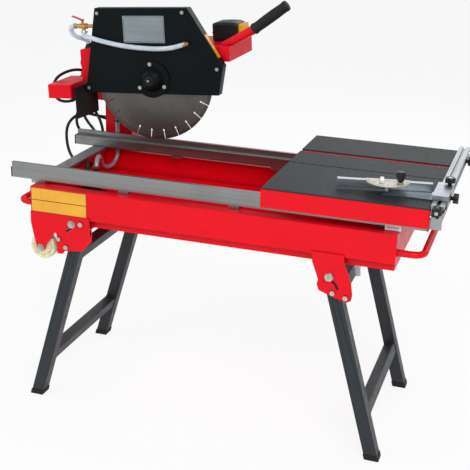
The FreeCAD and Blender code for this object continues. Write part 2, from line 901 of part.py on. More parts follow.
def leg_frame(end, pivot_x, angle):
    """Two square tubes and two cross bars, turned out by the splay angle about the pivot."""
    pivot = (pivot_x, "leg_pivot_z")
    solids = []
    feet = []
    floor = box(f"floor_{end}", ("1200", "1200", "400"), (f"{pivot_x} - 600", "-600", "foot_height - 400"))
    slab = box(f"slab_{end}", ("1200", "1200", "foot_height"), (f"{pivot_x} - 600", "-600", "0"))
    for sign in (-1, 1):
        start, width = side(sign, LEG_IN, LEG_OUT)
        tag = f"{end}_{sign + 1}"
        tube = tilted_box(
            f"leg_outer_{tag}",
            ("leg_width", "leg_depth", f"{LEG_REACH} + leg_top"),
            ("-leg_width / 2", start, f"-{LEG_REACH}"),
            pivot,
            angle,
        )
        bore = tilted_box(
            f"leg_inner_{tag}",
            ("leg_width - 2 * leg_wall", "leg_depth - 2 * leg_wall", LEG_REACH),
            ("-leg_width / 2 + leg_wall", f"{start} + leg_wall", f"-{LEG_REACH} - leg_top - leg_width"),
            pivot,
            angle,
        )
        hole = cylinder(
            f"leg_hole_{tag}", "leg_pin_r + running_gap", "leg_depth + 2", "y", (
                pivot_x,
                f"{start} - 1",
                "leg_pivot_z",
            )
        )
        solids.append(cut(f"leg_{tag}", tube, bore, hole, floor))
        shoe = tilted_box(
            f"shoe_{tag}",
            ("leg_width + 2 * foot_wall", "leg_depth + 2 * foot_wall", "160"),
            ("-leg_width / 2 - foot_wall", f"{start} - foot_wall", f"-{LEG_REACH} - 40"),
            pivot,
            angle,
        )
        feet.append(common(f"foot_{tag}", shoe, slab))
    for name, drop in (("up", "leg_bar_up"), ("low", "leg_bar_low")):
        solids.append(
            tilted_box(
                f"leg_bar_{name}_{end}",
                ("leg_bar", f"2 * {LEG_IN}", "leg_bar"),
                ("-leg_bar / 2", f"-{LEG_IN}", f"-{drop} - leg_bar / 2"),
                pivot,
                angle,
            )
        )
    return group(f"legs_{end}", *solids), group(f"feet_{end}_pair", *feet)


legs, feet = leg_frame("left", "leg_left_x", "leg_splay")
node("leg_frame_left", legs, "legs_left")
node("feet_left", feet, "legs_left")
legs, feet = leg_frame("right", "leg_right_x", "-leg_splay")
node("leg_frame_right", legs, "legs_right")
node("feet_right", feet, "legs_right")

# ---------------------------------------------------------------- transport wheels
for label, sign in (("wheel_near", -1), ("wheel_far", 1)):
    start, width = side(sign, f"{INNER_OUT} + 5", f"{INNER_OUT} + 5 + wheel_width")
    wheel = turned(
        label + "_body",
        [
            (start, "axle_r + running_gap"),
            (start, "wheel_r - 14"),
            (f"{start} + 3", "wheel_r - 12"),
            (f"{start} + 1", "wheel_r - 8"),
            (f"{start} + 1", "wheel_r - 2"),
            (f"{start} + 4", "wheel_r"),
            (f"{start} + wheel_width - 4", "wheel_r"),
            (f"{start} + wheel_width - 1", "wheel_r - 2"),
            (f"{start} + wheel_width - 1", "wheel_r - 8"),
            (f"{start} + wheel_width - 3", "wheel_r - 12"),
            (f"{start} + wheel_width", "wheel_r - 14"),
            (f"{start} + wheel_width", "axle_r + running_gap"),
        ],
        "wheel_x",
        "wheel_z",
    )
    node(label, wheel, label)

# ---------------------------------------------------------------- column and head pivot
post = box(
    "post",
    ("column_width", "column_depth", "column_top - column_bottom"),
    ("column_left", COLUMN_NEAR, "column_bottom"),
)
post_bore = box(
    "post_bore",
    ("column_width - 2 * beam_wall", "column_depth - 2 * beam_wall", "column_top - column_bottom"),
    ("column_left + beam_wall", f"{COLUMN_NEAR} + beam_wall", "column_bottom - beam_wall"),
)
node("column", cut("post_tube", post, post_bore))

# A short arm reaches left from the column's top and carries the pivot bush.
arm_bar = box(
    "arm_bar",
    ("column_left - pivot_x + bush_r", "column_depth - 4", "arm_height"),
    ("pivot_x - bush_r", f"{COLUMN_NEAR} + 2", "column_top - arm_height"),
)
bush = cylinder("bush", "bush_r", "column_depth", "y", ("pivot_x", COLUMN_NEAR, "pivot_z"))
bush_bore = cylinder(
    "bush_bore",
    "pivot_r + 0.02",
    "column_depth + 2",
    "y",
    ("pivot_x", f"{COLUMN_NEAR} - 1", "pivot_z"),
)
arm_bored = cut("arm_bored", fuse("arm_solid", arm_bar, bush), bush_bore)
SHAFT_START = f"({COLUMN_NEAR} - beam_gap - sleeve_length)"
SHAFT_LENGTH = "(column_depth + 2 * beam_gap + 2 * sleeve_length)"
shaft_rod = cylinder("shaft_rod", "pivot_r", SHAFT_LENGTH, "y", ("pivot_x", SHAFT_START, "pivot_z"))
node("pivot_arm", group("arm_and_shaft", arm_bored, shaft_rod))

# ---------------------------------------------------------------- cutting head
# Arm: a folded sheet hood, deep at the rear and shallow over the motor, open underneath.
HOOD_LOW = "(beam_height / 2 - blade_rise)"
HOOD = [
    ("-hood_rear", "hood_top - hood_fall"),
    ("hood_crest", "hood_top"),
    ("hood_front", "hood_top"),
    ("hood_front", "hood_top - hood_shallow"),
    ("-20", "hood_top - hood_shallow"),
    ("-85", HOOD_LOW),
    ("-hood_rear", HOOD_LOW),
]
hood = body("hood_body")
hood_outline = sketch(hood, "hood_outline", "XZ_Plane", HOOD, (CX, CZ, f"-{GUARD_FAR}"))
pad(hood, "hood_pad", hood_outline, "hood_depth", True)
hood_hollow = sketch(
    hood,
    "hood_hollow",
    "XZ_Plane",
    [
        ("-hood_rear + hood_sheet", "hood_top - hood_fall - hood_sheet"),
        ("hood_crest", "hood_top - hood_sheet"),
        ("hood_front - hood_sheet", "hood_top - hood_sheet"),
        ("hood_front - hood_sheet", f"{HOOD_LOW} - 5"),
        ("-hood_rear + hood_sheet", f"{HOOD_LOW} - 5"),
    ],
    (CX, CZ, f"-({GUARD_FAR} + hood_sheet)"),
)
pocket(hood, "hood_hollow_cut", hood_hollow, "hood_depth - 2 * hood_sheet")
node("arm_hood", hood, "head")

# Cross beam under the hood's rear end: a closed tube on each side of the pivot bush, turning on the shaft.
BEAM_LEFT = "(pivot_x - beam_width / 2)"
BEAM_LOW = "(pivot_z - beam_height / 2)"
halves = []
for name, y_start, y_end, sleeve_start in (
    ("near", "beam_near", f"{COLUMN_NEAR} - beam_gap", f"{COLUMN_NEAR} - beam_gap - sleeve_length"),
    ("far", f"{COLUMN_FAR} + beam_gap", HOOD_FAR, f"{COLUMN_FAR} + beam_gap"),
):
    tube = box(
        f"beam_{name}",
        ("beam_width", f"{y_end} - ({y_start})", "beam_height"),
        (BEAM_LEFT, y_start, BEAM_LOW),
    )
    bore = box(
        f"beam_bore_{name}",
        (
            "beam_width - 2 * beam_wall",
            f"{y_end} - ({y_start}) - 2 * beam_wall",
            "beam_height - 2 * beam_wall",
        ),
        (f"{BEAM_LEFT} + beam_wall", f"{y_start} + beam_wall", f"{BEAM_LOW} + beam_wall"),
    )
    sleeve = cylinder(
        f"sleeve_{name}",
        "pivot_r + 4",
        "sleeve_length",
        "y",
        ("pivot_x", sleeve_start, "pivot_z"),
    )
    hole = cylinder(
        f"sleeve_bore_{name}",
        "pivot_r + running_gap",
        "sleeve_length + 2",
        "y",
        ("pivot_x", f"{sleeve_start} - 1", "pivot_z"),
    )
    halves.append(
        cut(
            f"beam_half_{name}",
            fuse(f"beam_welded_{name}", cut(f"beam_tube_{name}", tube, bore), sleeve),
            hole,
        )
    )
node("rear_beam", group("beam", *halves), "head")

# Blade guard: near plate, and a shell made of the rim and the far plate.
GUARD = [
    ("-(blade_r + guard_rear)", "-guard_bottom"),
    ("-(blade_r - guard_rear_top)", "guard_top"),
    ("blade_r - guard_cut", "guard_top"),
    ("blade_r + guard_front", "guard_shoulder"),
    ("blade_r + guard_front_low", "-guard_bottom"),
]
near_plate = body("guard_near_body")
near_outline = sketch(
    near_plate, "guard_near_outline", "XZ_Plane", GUARD, (CX, CZ, "-guard_near"), circles=[
        ("0", "0", "shaft_r + 10"),
    ]
)
pad(near_plate, "guard_near_pad", near_outline, "guard_sheet", True)
node("guard_plate", near_plate, "head")

shell = body("guard_shell_body")
shell_outline = sketch(
    shell,
    "guard_shell_outline",
    "XZ_Plane",
    GUARD,
    (CX, CZ, "-(guard_near + guard_sheet)"),
)
pad(shell, "guard_shell_pad", shell_outline, "guard_depth - guard_sheet", True)
shell_hollow = sketch(
    shell,
    "guard_shell_hollow",
    "XZ_Plane",
    [
        ("-(blade_r + guard_rear) + 5", "-guard_bottom - 5"),
        ("-(blade_r - guard_rear_top) + guard_sheet", "guard_top - guard_sheet"),
        ("blade_r - guard_cut - guard_sheet", "guard_top - guard_sheet"),
        ("blade_r + guard_front - 4", "guard_shoulder"),
        ("blade_r + guard_front_low - 5", "-guard_bottom - 5"),
    ],
    (CX, CZ, "-(guard_near + guard_sheet)"),
)
pocket(shell, "guard_shell_hollow_cut", shell_hollow, "guard_depth - 2 * guard_sheet")
shell_bore = sketch(
    shell, "guard_shell_bore", "XZ_Plane", [], (CX, CZ, "-(guard_near + guard_sheet)"), circles=[
        ("0", "0", "shaft_r + 12"),
    ]
)
pocket(shell, "guard_shell_bore_cut", shell_bore, "guard_depth")
node("guard_shell", shell, "head")

# Bearing housing on the near plate, with a bore for the blade shaft.
HOUSING_NEAR = "(guard_near - housing_depth)"
housing = turned(
    "housing_body",
    [
        (HOUSING_NEAR, "shaft_r + running_gap"),
        (HOUSING_NEAR, "17"),
        (f"{HOUSING_NEAR} + 2", "22"),
        (f"{HOUSING_NEAR} + 6", "26.5"),
        (f"{HOUSING_NEAR} + 12", "30"),
        (f"{HOUSING_NEAR} + 17", "33"),
        ("guard_near - 5", "35"),
        ("guard_near - 5", "housing_r"),
        ("guard_near", "housing_r"),
        ("guard_near", "shaft_r + running_gap"),
    ],
    CX,
    CZ,
)
node("hub_housing", housing, "head")

SCREWS = [
    ("-(blade_r - 20)", "guard_top - 14"),
    ("blade_r - 75", "guard_top - 12"),
    ("blade_r + 19", "31"),
    ("-(blade_r + 24)", "-28"),
]
screws = []
for number, (across, up) in enumerate(SCREWS):
    screws.append(
        cylinder(
            f"screw_{number}",
            "5",
            "3.5",
            "y",
            (f"{CX} + {across}", "guard_near - 3.5", f"{CZ} + {up}"),
        )
    )
for number in range(3):
    angle = f"{93 + 120 * number}"
    screws.append(
        hexagon(
            f"hub_bolt_{number}",
            "6",
            "5",
            "y",
            (f"{CX} + 43 * cos({angle})", "guard_near - 10", f"{CZ} + 43 * sin({angle})"),
        )
    )
for number, (across, up) in enumerate((("-74", "169"), ("40", "169"), ("-74", "108"), ("40", "108"))):
    screws.append(
        cylinder(
            f"rivet_{number}", "2.4", "1.2", "y", (f"{CX} + {across}", "guard_near - 2", f"{CZ} + {up}")
        )
    )
node("guard_screws", group("screws", *screws), "head")

node(
    "name_plate",
    group(
        "name",
        box("name_sheet", ("124", "0.8", "74"), (f"{CX} - 79", "guard_near - 0.8", f"{CZ} + 101")),
    ),
    "head",
)



# Coloured strip on the guard's sloping front edge.
def beside_edge(share, gap):
    """A point this share of the way down the sloping edge and this far outside it."""
    across = f"blade_r - guard_cut + (guard_cut + guard_front) * {share} + 0.85 * {gap}"
    up = f"guard_top + (guard_shoulder - guard_top) * {share} + 0.52 * {gap}"
    return across, up


strip = body("strip_body")
strip_outline = sketch(
    strip,
    "strip_outline",
    "XZ_Plane",
    [beside_edge(0.464, 0.2), beside_edge(0.464, 1.2), beside_edge(0.855, 1.2), beside_edge(0.855, 0.2)],
    (CX, CZ, "-(guard_near + 6)"),
)
pad(strip, "strip_pad", strip_outline, "guard_depth - 12", True)
node("edge_strip", strip, "head")

# Rubber flap across the rear of the guard, leaning past the guard's far corner.
flap = body("flap_body")
flap_outline = sketch(
    flap,
    "flap_outline",
    "XY_Plane",
    [
        ("-6.9", f"{GUARD_FAR} - flap_start"),
        ("-6.9 - flap_thick", f"{GUARD_FAR} - flap_start"),
        ("3.1 - flap_thick", f"{GUARD_FAR} - flap_start + flap_width"),
        ("3.1", f"{GUARD_FAR} - flap_start + flap_width"),
    ],
    (f"{CX} - (blade_r + guard_rear)", "0", f"{CZ} - 20 - flap_height"),
)
pad(flap, "flap_pad", flap_outline, "flap_height")
node("splash_flap", flap, "head")

# Motor: flange against the arm, finned case and fan cover behind it.
MOTOR_START = f"({GUARD_FAR} + hood_sheet)"
fins = [
    (GUARD_FAR, "shaft_r + running_gap"),
    (GUARD_FAR, "hood_top - hood_shallow - 3"),
    (f"{MOTOR_START} + 0.2", "hood_top - hood_shallow - 3"),
    (f"{MOTOR_START} + 0.2", "motor_r + 4"),
    (f"{MOTOR_START} + 9", "motor_r + 4"),
]
for number in range(9):
    step = f"{MOTOR_START} + 9 + {number} * (motor_length - 9) / 9"
    fins.append((f"{step} + 0.1", "motor_r - 5"))
    fins.append((f"{step} + (motor_length - 9) / 18", "motor_r - 5"))
    fins.append((f"{step} + (motor_length - 9) / 18 + 0.1", "motor_r"))
    fins.append((f"{step} + (motor_length - 9) / 9", "motor_r"))
fins.append((f"{MOTOR_START} + motor_length + fan_length - 6", "motor_r + 3"))
fins.append((f"{MOTOR_START} + motor_length + fan_length", "motor_r - 4"))
fins.append((f"{MOTOR_START} + motor_length + fan_length", "20"))
fins.append((f"{MOTOR_START} + motor_length + fan_length - 2", "18"))
fins.append((f"{MOTOR_START} + motor_length + fan_length - 2", "6"))
fins.append((f"{MOTOR_START} + 22", "6"))
fins.append((f"{MOTOR_START} + 22", "shaft_r + running_gap"))
motor = turned("motor_body", fins, CX, CZ)
node("motor", motor, "head")

# Switch box on top of the hood, with a coloured switch plate and two push buttons.
BOX_LEFT = f"({CX} + 137)"
BOX_NEAR = f"({GUARD_FAR} + 97)"
BOX_LOW = f"({CZ} + hood_top)"
case = body("switch_box_body")
case_outline = sketch(
    case,
    "switch_box_outline",
    "XZ_Plane",
    [
        ("0", "0"),
        ("0", "box_height - 5"),
        ("12", "box_height - 1"),
        ("box_length / 2", "box_height"),
        ("box_length - 10", "box_height - 1"),
        ("box_length", "box_height - 5"),
        ("box_length", "6"),
        ("box_length - 6", "0"),
    ],
    (BOX_LEFT, BOX_LOW, f"-{BOX_NEAR}"),
)
pad(case, "switch_box_pad", case_outline, "box_depth", True)
node("switch_box", case, "head")
PLATE_X = f"({BOX_LEFT} + box_length)"
plate = box(
    "plate_block", ("plate_thick", "box_depth - 16", "box_height - 16"), (
        PLATE_X,
        f"{BOX_NEAR} + 8",
        f"{BOX_LOW} + 9",
    )
)
button_holes = []
for number in (0, 1):
    button_holes.append(
        cylinder(
            f"button_hole_{number}",
            "button_r + button_clear",
            "plate_thick",
            "x",
            (
                f"{PLATE_X} + plate_thick - button_sunk",
                f"{BOX_NEAR} + button_inset + {number} * button_pitch",
                f"{BOX_LOW} + box_height / 2",
            ),
        )
    )
node("switch_plate", cut("plate_cut", plate, *button_holes), "head")
for number, label in enumerate(("start_button", "stop_button")):
    node(
        label,
        group(
            label + "_piece",
            cylinder(
                label + "_cap",
                "button_r",
                "9",
                "x",
                (
                    f"{PLATE_X} + plate_thick - button_sunk + button_travel",
                    f"{BOX_NEAR} + button_inset + {number} * button_pitch",
                    f"{BOX_LOW} + box_height / 2",
                ),
            ),
        ),
        label,
    )

# Handle: a tube from the hood's front edge with a grip on its end.
HANDLE_X = f"({CX} + hood_front - 28)"
HANDLE_Y = f"({GUARD_FAR} + 37)"
HANDLE_UP = f"({CZ} + hood_top - 4)"
BEND_X = f"({HANDLE_X} + tube_length * cos(tube_rise))"
BEND_UP = f"({HANDLE_UP} + tube_length * sin(tube_rise))"


def slanted(name, radius, length, rise, place):
    """A cylinder that starts at place (across, up) and climbs to the right at the angle rise."""
    item = doc.addObject("Part::Cylinder", name)
    item.Placement = FreeCAD.Placement(V(), FreeCAD.Rotation(V(0, 1, 0), 45))
    bind(item, Radius=radius, Height=length)
    item.setExpression("Placement.Rotation.Angle", link(f"90 - {rise}"))
    put(item, (place[0], HANDLE_Y, place[1]))
    return item


def up_the_grip(distance):
    """A point on the grip's centre line, this far beyond the tube's bend."""
    return f"{BEND_X} + ({distance}) * cos(grip_angle)", f"{BEND_UP} + ({distance}) * sin(grip_angle)"


root_tube = slanted("handle_root", "tube_r", "tube_length", "tube_rise", (HANDLE_X, HANDLE_UP))
knee = doc.addObject("Part::Sphere", "handle_knee")
bind(knee, Radius="tube_r")
put(knee, (BEND_X, HANDLE_Y, BEND_UP))
end_tube = slanted("handle_end", "tube_r", "grip_length - 6", "grip_angle", (BEND_X, BEND_UP))
root_cut = box(
    "root_cut",
    ("hood_front", "6 * tube_r", "hood_shallow"),
    (f"{CX}", f"{HANDLE_Y} - 3 * tube_r", f"{CZ} + hood_top - hood_shallow"),
)
node("handle_tube", cut("handle_seated", fuse("handle_bent", root_tube, knee, end_tube), root_cut), "head")
grip_outer = slanted("grip_outer", "grip_r", "grip_length", "grip_angle", up_the_grip("2"))
grip_bore = slanted("grip_bore", "tube_r", "grip_length - 6", "grip_angle", up_the_grip("0"))
doc.recompute()
grip_solid = doc.addObject("Part::Fillet", "grip_rounded")
grip_solid.Base = grip_outer
grip_solid.Edges = [
    (number, 5.0, 5.0)
    for number, edge in enumerate(grip_outer.Shape.Edges, start=1)
    if edge.Curve.TypeId == "Part::GeomCircle"
]
node("hand_grip", cut("grip_sleeve", grip_solid, grip_bore), "head")

# Water valve at the guard's top left corner, its lever, and the inlet elbow on the near plate.
VALVE_X = f"({CX} - (blade_r + 34))"
VALVE_Y = f"({GUARD_FAR} - 18)"
VALVE_UP = f"({CZ} + 145)"
valve_core = cylinder("valve_core", "7", "20", "x", (f"{VALVE_X} - 10", VALVE_Y, VALVE_UP))
valve_hex = hexagon("valve_hex", "8", "8", "x", (f"{VALVE_X} + 7", VALVE_Y, VALVE_UP))
valve_neck = cylinder("valve_neck", "5", "36", "x", (f"{VALVE_X} + 8", VALVE_Y, VALVE_UP))
valve_barb = cylinder("valve_barb", "5.5", "14", "x", (f"{VALVE_X} - 20", VALVE_Y, VALVE_UP))
valve_stem = cylinder("valve_stem", "3.5", "14", "z", (VALVE_X, VALVE_Y, f"{VALVE_UP} + 1"))
valve_branch = cylinder("valve_branch", "5.5", "14", "z", (f"{VALVE_X} + 2", VALVE_Y, f"{VALVE_UP} - 13"))
neck_trim = plate_xz("neck_trim", GUARD, "guard_near", "guard_depth", (CX, CZ))
valve = cut(
    "valve_trimmed",
    fuse("valve_solid", valve_core, valve_hex, valve_neck, valve_barb, valve_stem, valve_branch),
    neck_trim,
)
elbow_post = cylinder("elbow_post", "5.5", "10", "y", (f"{CX} + 113", "guard_near - 10", f"{CZ} + 100"))
elbow_head = cylinder("elbow_head", "6.5", "10", "x", (f"{CX} + 108", "guard_near - 10", f"{CZ} + 100"))
node("water_fittings", group("brass", valve, fuse("elbow", elbow_post, elbow_head)), "head")
lever_hub = cylinder("lever_hub", "5.5", "4", "z", (VALVE_X, VALVE_Y, f"{VALVE_UP} + 15"))
lever_arm = plate_xz(
    "lever_arm",
    [("-2", "0.5"), ("-31", "11.5"), ("-30", "14"), ("-1", "3.5")],
    f"{VALVE_Y} - 4.5",
    "9",
    (VALVE_X, f"{VALVE_UP} + 15"),
)
node("valve_lever", group("lever", fuse("lever_piece", lever_hub, lever_arm)), "valve_lever")

# ---------------------------------------------------------------- blade and its shaft
arbor = turned(
    "arbor_body",
    [
        (f"{HOUSING_NEAR} - 6", "0"),
        (f"{HOUSING_NEAR} - 6", "6"),
        (f"{HOUSING_NEAR} - 1", "8"),
        (f"{HOUSING_NEAR} - 1", "shaft_r"),
        ("guard_near + guard_sheet + 1", "shaft_r"),
        ("guard_near + guard_sheet + 1", "19"),
        ("blade_y - blade_core / 2 - 5", "19"),
        ("blade_y - blade_core / 2 - 5", "flange_r"),
        ("blade_y - blade_core / 2", "flange_r"),
        ("blade_y - blade_core / 2", "shaft_r"),
        ("blade_y + blade_core / 2", "shaft_r"),
        ("blade_y + blade_core / 2", "flange_r"),
        ("blade_y + blade_core / 2 + 5", "flange_r"),
        ("blade_y + blade_core / 2 + 5", "shaft_r"),
        (f"{MOTOR_START} + 20", "shaft_r"),
        (f"{MOTOR_START} + 20", "0"),
    ],
    CX,
    CZ,
)
node("arbor", arbor, "spindle")

disc = turned(
    "blade_body",
    [
        ("blade_y - blade_core / 2", "shaft_r"),
        ("blade_y - blade_core / 2", "blade_r - blade_rim_width"),
        ("blade_y - blade_rim / 2", "blade_r - blade_rim_width"),
        ("blade_y - blade_rim / 2", "blade_r"),
        ("blade_y + blade_rim / 2", "blade_r"),
        ("blade_y + blade_rim / 2", "blade_r - blade_rim_width"),
        ("blade_y + blade_core / 2", "blade_r - blade_rim_width"),
        ("blade_y + blade_core / 2", "shaft_r"),
    ],
    CX,
    CZ,
)
slot = sketch(
    disc,
    "blade_slot",
    "XZ_Plane",
    [
        ("-1.3", "blade_r - 22"),
        ("-2.8", "blade_r - 26"),
        ("0", "blade_r - 29"),
        ("2.8", "blade_r - 26"),
        ("1.3", "blade_r - 22"),
        ("1.3", "blade_r + 1"),
        ("-1.3", "blade_r + 1"),
    ],
    (CX, CZ, "-(blade_y - 5)"),
)
slot_cut = pocket(disc, "blade_slot_cut", slot, "10")
pattern = disc.newObject("PartDesign::PolarPattern", "blade_slots_round")
pattern.Originals = [slot_cut]
pattern.Axis = (slot, ["N_Axis"])
pattern.Angle = 360
pattern.setExpression("Occurrences", link("blade_slots"))
disc.Tip = pattern
node("blade", disc, "spindle")

# ---------------------------------------------------------------- cart
# Folded sheet cart: top plate, long skirts at both sides, short end skirts above the rails.
DECK = f"({PLATE_TOP} - cart_sheet)"
deck_plate = box(
    "deck_plate", ("cart_length", "cart_near + cart_far", "cart_sheet"), ("cart_left", "-cart_near", DECK)
)
skirts = []
for name, y_start in (("near", "-cart_near"), ("far", "cart_far - cart_sheet")):
    skirts.append(
        box(
            f"skirt_{name}",
            ("cart_length", "cart_sheet", "skirt_height"),
            ("cart_left", y_start, f"{PLATE_TOP} - skirt_height"),
        )
    )
for name, x_start in (("left", "cart_left"), ("right", f"{CART_RIGHT} - cart_sheet")):
    skirts.append(
        box(
            f"skirt_{name}",
            ("cart_sheet", "cart_near + cart_far", "end_skirt"),
            (x_start, "-cart_near", f"{PLATE_TOP} - end_skirt"),
        )
    )
slot_box = box(
    "slot_box",
    ("cart_length - slot_stop + 1", "slot_width", "end_skirt + 6"),
    ("cart_left - 1", "blade_y - slot_width / 2", f"{PLATE_TOP} - end_skirt - 3"),
)
node("cart_frame", cut("cart", fuse("cart_sheets", deck_plate, *skirts), slot_box), "cart")

mats = []
for name, y_start, y_end in (
    ("near", "-cart_near + 1", "seam_y - seam_width / 2"),
    ("middle", "seam_y + seam_width / 2", "blade_y - slot_bare / 2"),
    ("far", "blade_y + slot_bare / 2", "cart_far - 1"),
):
    mats.append(
        box(
            f"mat_{name}",
            ("cart_length - 2", f"{y_end} - ({y_start})", "mat_thick"),
            ("cart_left + 1", y_start, PLATE_TOP),
        )
    )
node("cart_mats", group("mats", *mats), "cart")

glides = []
for sign in (-1, 1):
    start, width = side(sign, "rail_half - rail_width", "rail_half - rail_lip - leg_clear")
    for number, x_start in enumerate(("cart_left + 22", f"{CART_RIGHT} - 22 - glide_length")):
        glides.append(
            box(
                f"glide_{sign + 1}_{number}",
                ("glide_length", width, f"{DECK} - {LEDGE} - 0.2"),
                (x_start, start, f"{LEDGE} + 0.2"),
            )
        )
node("cart_glides", group("glides", *glides), "cart")

# ---------------------------------------------------------------- fence on the cart's right end
FENCE_X = CART_RIGHT
FENCE_LOW = f"({CART_TOP} + 9 - fence_height)"
FENCE_TOP = f"({CART_TOP} + 9)"
FENCE_NEAR = "(cart_near - 3)"
fence = body("fence_body")
fence_outline = sketch(
    fence,
    "fence_outline",
    "XZ_Plane",
    [
        ("0", "0"),
        ("0", "fence_height"),
        ("fence_width / 2 - 4", "fence_height"),
        ("fence_width / 2 - 4", "fence_height - 5"),
        ("fence_width / 2 + 4", "fence_height - 5"),
        ("fence_width / 2 + 4", "fence_height"),
        ("fence_width", "fence_height"),
        ("fence_width", "fence_height / 2 + 4"),
        ("fence_width - 5", "fence_height / 2 + 4"),
        ("fence_width - 5", "fence_height / 2 - 4"),
        ("fence_width", "fence_height / 2 - 4"),
        ("fence_width", "0"),
    ],
    (FENCE_X, FENCE_LOW, f"{FENCE_NEAR}"),
)
pad(fence, "fence_pad", fence_outline, f"{FENCE_NEAR} + cart_far + 16", True)
fence_hook = box(
    "fence_hook", ("fence_width - 4", "6", f"{FENCE_LOW} - {PLATE_TOP} + skirt_height"),
    (f"{FENCE_X} + 2", f"-{FENCE_NEAR}", f"{PLATE_TOP} - skirt_height"),
)
node("fence_bar", fuse("fence_welded", fence, fence_hook), "cart")


def star_knob(name, axis, stem_place, head_place):
    """A five-lobed knob on a short stem; both run along +axis from their own starting points."""
    x, y, z = head_place
    pieces = [
        cylinder(name + "_stem", "5", "6", axis, stem_place),
        cylinder(name + "_core", "knob_r - 4", "12", axis, head_place),
    ]
    for number in range(5):
        across = f"(knob_r - 5) * cos({72 * number})"
        up = f"(knob_r - 5) * sin({72 * number})"
        spot = {
            "x": (x, f"{y} + {across}", f"{z} + {up}"),
            "y": (f"{x} + {across}", y, f"{z} + {up}"),
            "z": (f"{x} + {across}", f"{y} + {up}", z),
        }[axis]
        pieces.append(cylinder(f"{name}_lobe_{number}", "5", "12", axis, spot))
    return fuse(name, *pieces)


FENCE_SIDE = f"({FENCE_X} + fence_width)"
KNOB_UP = f"({FENCE_LOW} + fence_height / 2)"
FENCE_MIDDLE = f"({FENCE_X} + fence_width / 2)"
node(
    "fence_knobs",
    group(
        "fence_knob_pair",
        star_knob(
            "fence_knob_near",
            "y",
            (FENCE_MIDDLE, f"-({FENCE_NEAR} + 6)", KNOB_UP),
            (FENCE_MIDDLE, f"-({FENCE_NEAR} + 18)", KNOB_UP),
        ),
        star_knob(
            "fence_knob_far",
            "x",
            (FENCE_SIDE, "knob_far_y", KNOB_UP),
            (f"{FENCE_SIDE} + 6", "knob_far_y", KNOB_UP),
        ),
    ),
    "cart",
)

# ---------------------------------------------------------------- mitre gauge
# Slider over the fence bar with a flat arm above the mats; the fence swivels on the arm's post.
ARM_LOW = f"({CART_TOP} + 0.4)"
SLIDER_LEFT = f"({FENCE_X} - slider_gap - 4)"
slider_top = box(
    "slider_top",
    ("fence_width + 2 * slider_gap + 4 + 3", "slider_far - slider_near", "12"),
    (SLIDER_LEFT, "slider_near", f"{FENCE_TOP} + 0.2"),
)
slider_step = box(
    "slider_step", ("4", "slider_far - slider_near", f"{FENCE_TOP} - {ARM_LOW} + 5"), (
        SLIDER_LEFT,
        "slider_near",
        ARM_LOW,
    )
)
slider_tab = box(
    "slider_tab",
    ("3", "slider_far - slider_near", "32"),
    (f"{FENCE_SIDE} + slider_gap", "slider_near", f"{FENCE_TOP} + 12.2 - 32"),
)
arm = box(
    "gauge_arm",
    (f"{SLIDER_LEFT} - gauge_x + 6", "62", "3"),
    ("gauge_x - 6", "-(gauge_y + 28)", ARM_LOW),
)
post_pin = cylinder("gauge_post", "6", "gauge_height + 3", "z", ("gauge_x", "-gauge_y", ARM_LOW))
node(
    "gauge_slider",
    fuse("slider_piece", slider_top, slider_step, slider_tab, arm, post_pin),
    "gauge_slide",
)
TAB_SIDE = f"({FENCE_SIDE} + slider_gap + 3)"
SLIDER_TOP = f"({FENCE_TOP} + 12.2)"
node(
    "slider_knobs",
    group(
        "slider_knob_pair",
        star_knob(
            "slider_knob_side",
            "x",
            (TAB_SIDE, "slider_near + 60", f"{FENCE_LOW} + 18"),
            (f"{TAB_SIDE} + 6", "slider_near + 60", f"{FENCE_LOW} + 18"),
        ),
        star_knob(
            "slider_knob_top",
            "z",
            (f"{FENCE_X} + 24", "slider_far - 14", SLIDER_TOP),
            (f"{FENCE_X} + 24", "slider_far - 14", f"{SLIDER_TOP} + 6"),
        ),
    ),
    "gauge_slide",
)
FENCE_FOOT = f"({ARM_LOW} + 3.4)"
DIAL_LOW = f"({FENCE_FOOT} + gauge_height - 3)"
face_plate = box(
    "gauge_face",
    ("gauge_left + gauge_right", "4", "gauge_height - 3"),
    ("gauge_x - gauge_left", "-(gauge_y - 8)", FENCE_FOOT),
)
face_lip = box(
    "gauge_lip",
    ("gauge_left + gauge_right", "14", "2"),
    ("gauge_x - gauge_left", "-(gauge_y - 8) - 10", f"{DIAL_LOW} - 2"),
)
lip_gap = cylinder("lip_gap", "6.5", "8", "z", ("gauge_x", "-gauge_y", f"{DIAL_LOW} - 4"))
node(
    "gauge_fence",
    cut("gauge_face_bent", fuse("gauge_angle", face_plate, face_lip), lip_gap),
    "gauge_swivel",
)
dial_disc = cylinder("dial_disc", "dial_r", "2", "z", ("gauge_x", "-gauge_y", DIAL_LOW))
dial_half = box(
    "dial_half", ("2 * dial_r + 2", "dial_r + 12", "4"), (
        "gauge_x - dial_r - 1",
        "-(gauge_y - 10)",
        f"{DIAL_LOW} - 1",
    )
)
dial_bore = cylinder("dial_bore", "6 + running_gap", "6", "z", ("gauge_x", "-gauge_y", f"{DIAL_LOW} - 2"))
pointer = box("pointer", ("9", "27", "9"), ("gauge_x - 18.5", "-(gauge_y + 27)", f"{DIAL_LOW} + 1"))
node("protractor", fuse("dial", cut("dial_cut", dial_disc, dial_half, dial_bore), pointer), "gauge_swivel")
knob_place = ("gauge_x + 29", "-(gauge_y + 28)")
knob_stem = cylinder("gauge_knob_stem", "4.5", "8", "z", (*knob_place, f"{DIAL_LOW} + 2"))
knob_head = cylinder("gauge_knob_head", "8", "23", "z", (*knob_place, f"{DIAL_LOW} + 10"))
knob_wing = box(
    "gauge_knob_wing",
    ("22", "5", "13"),
    ("gauge_x + 29 - 11", "-(gauge_y + 30.5)", f"{DIAL_LOW} + 18"),
)
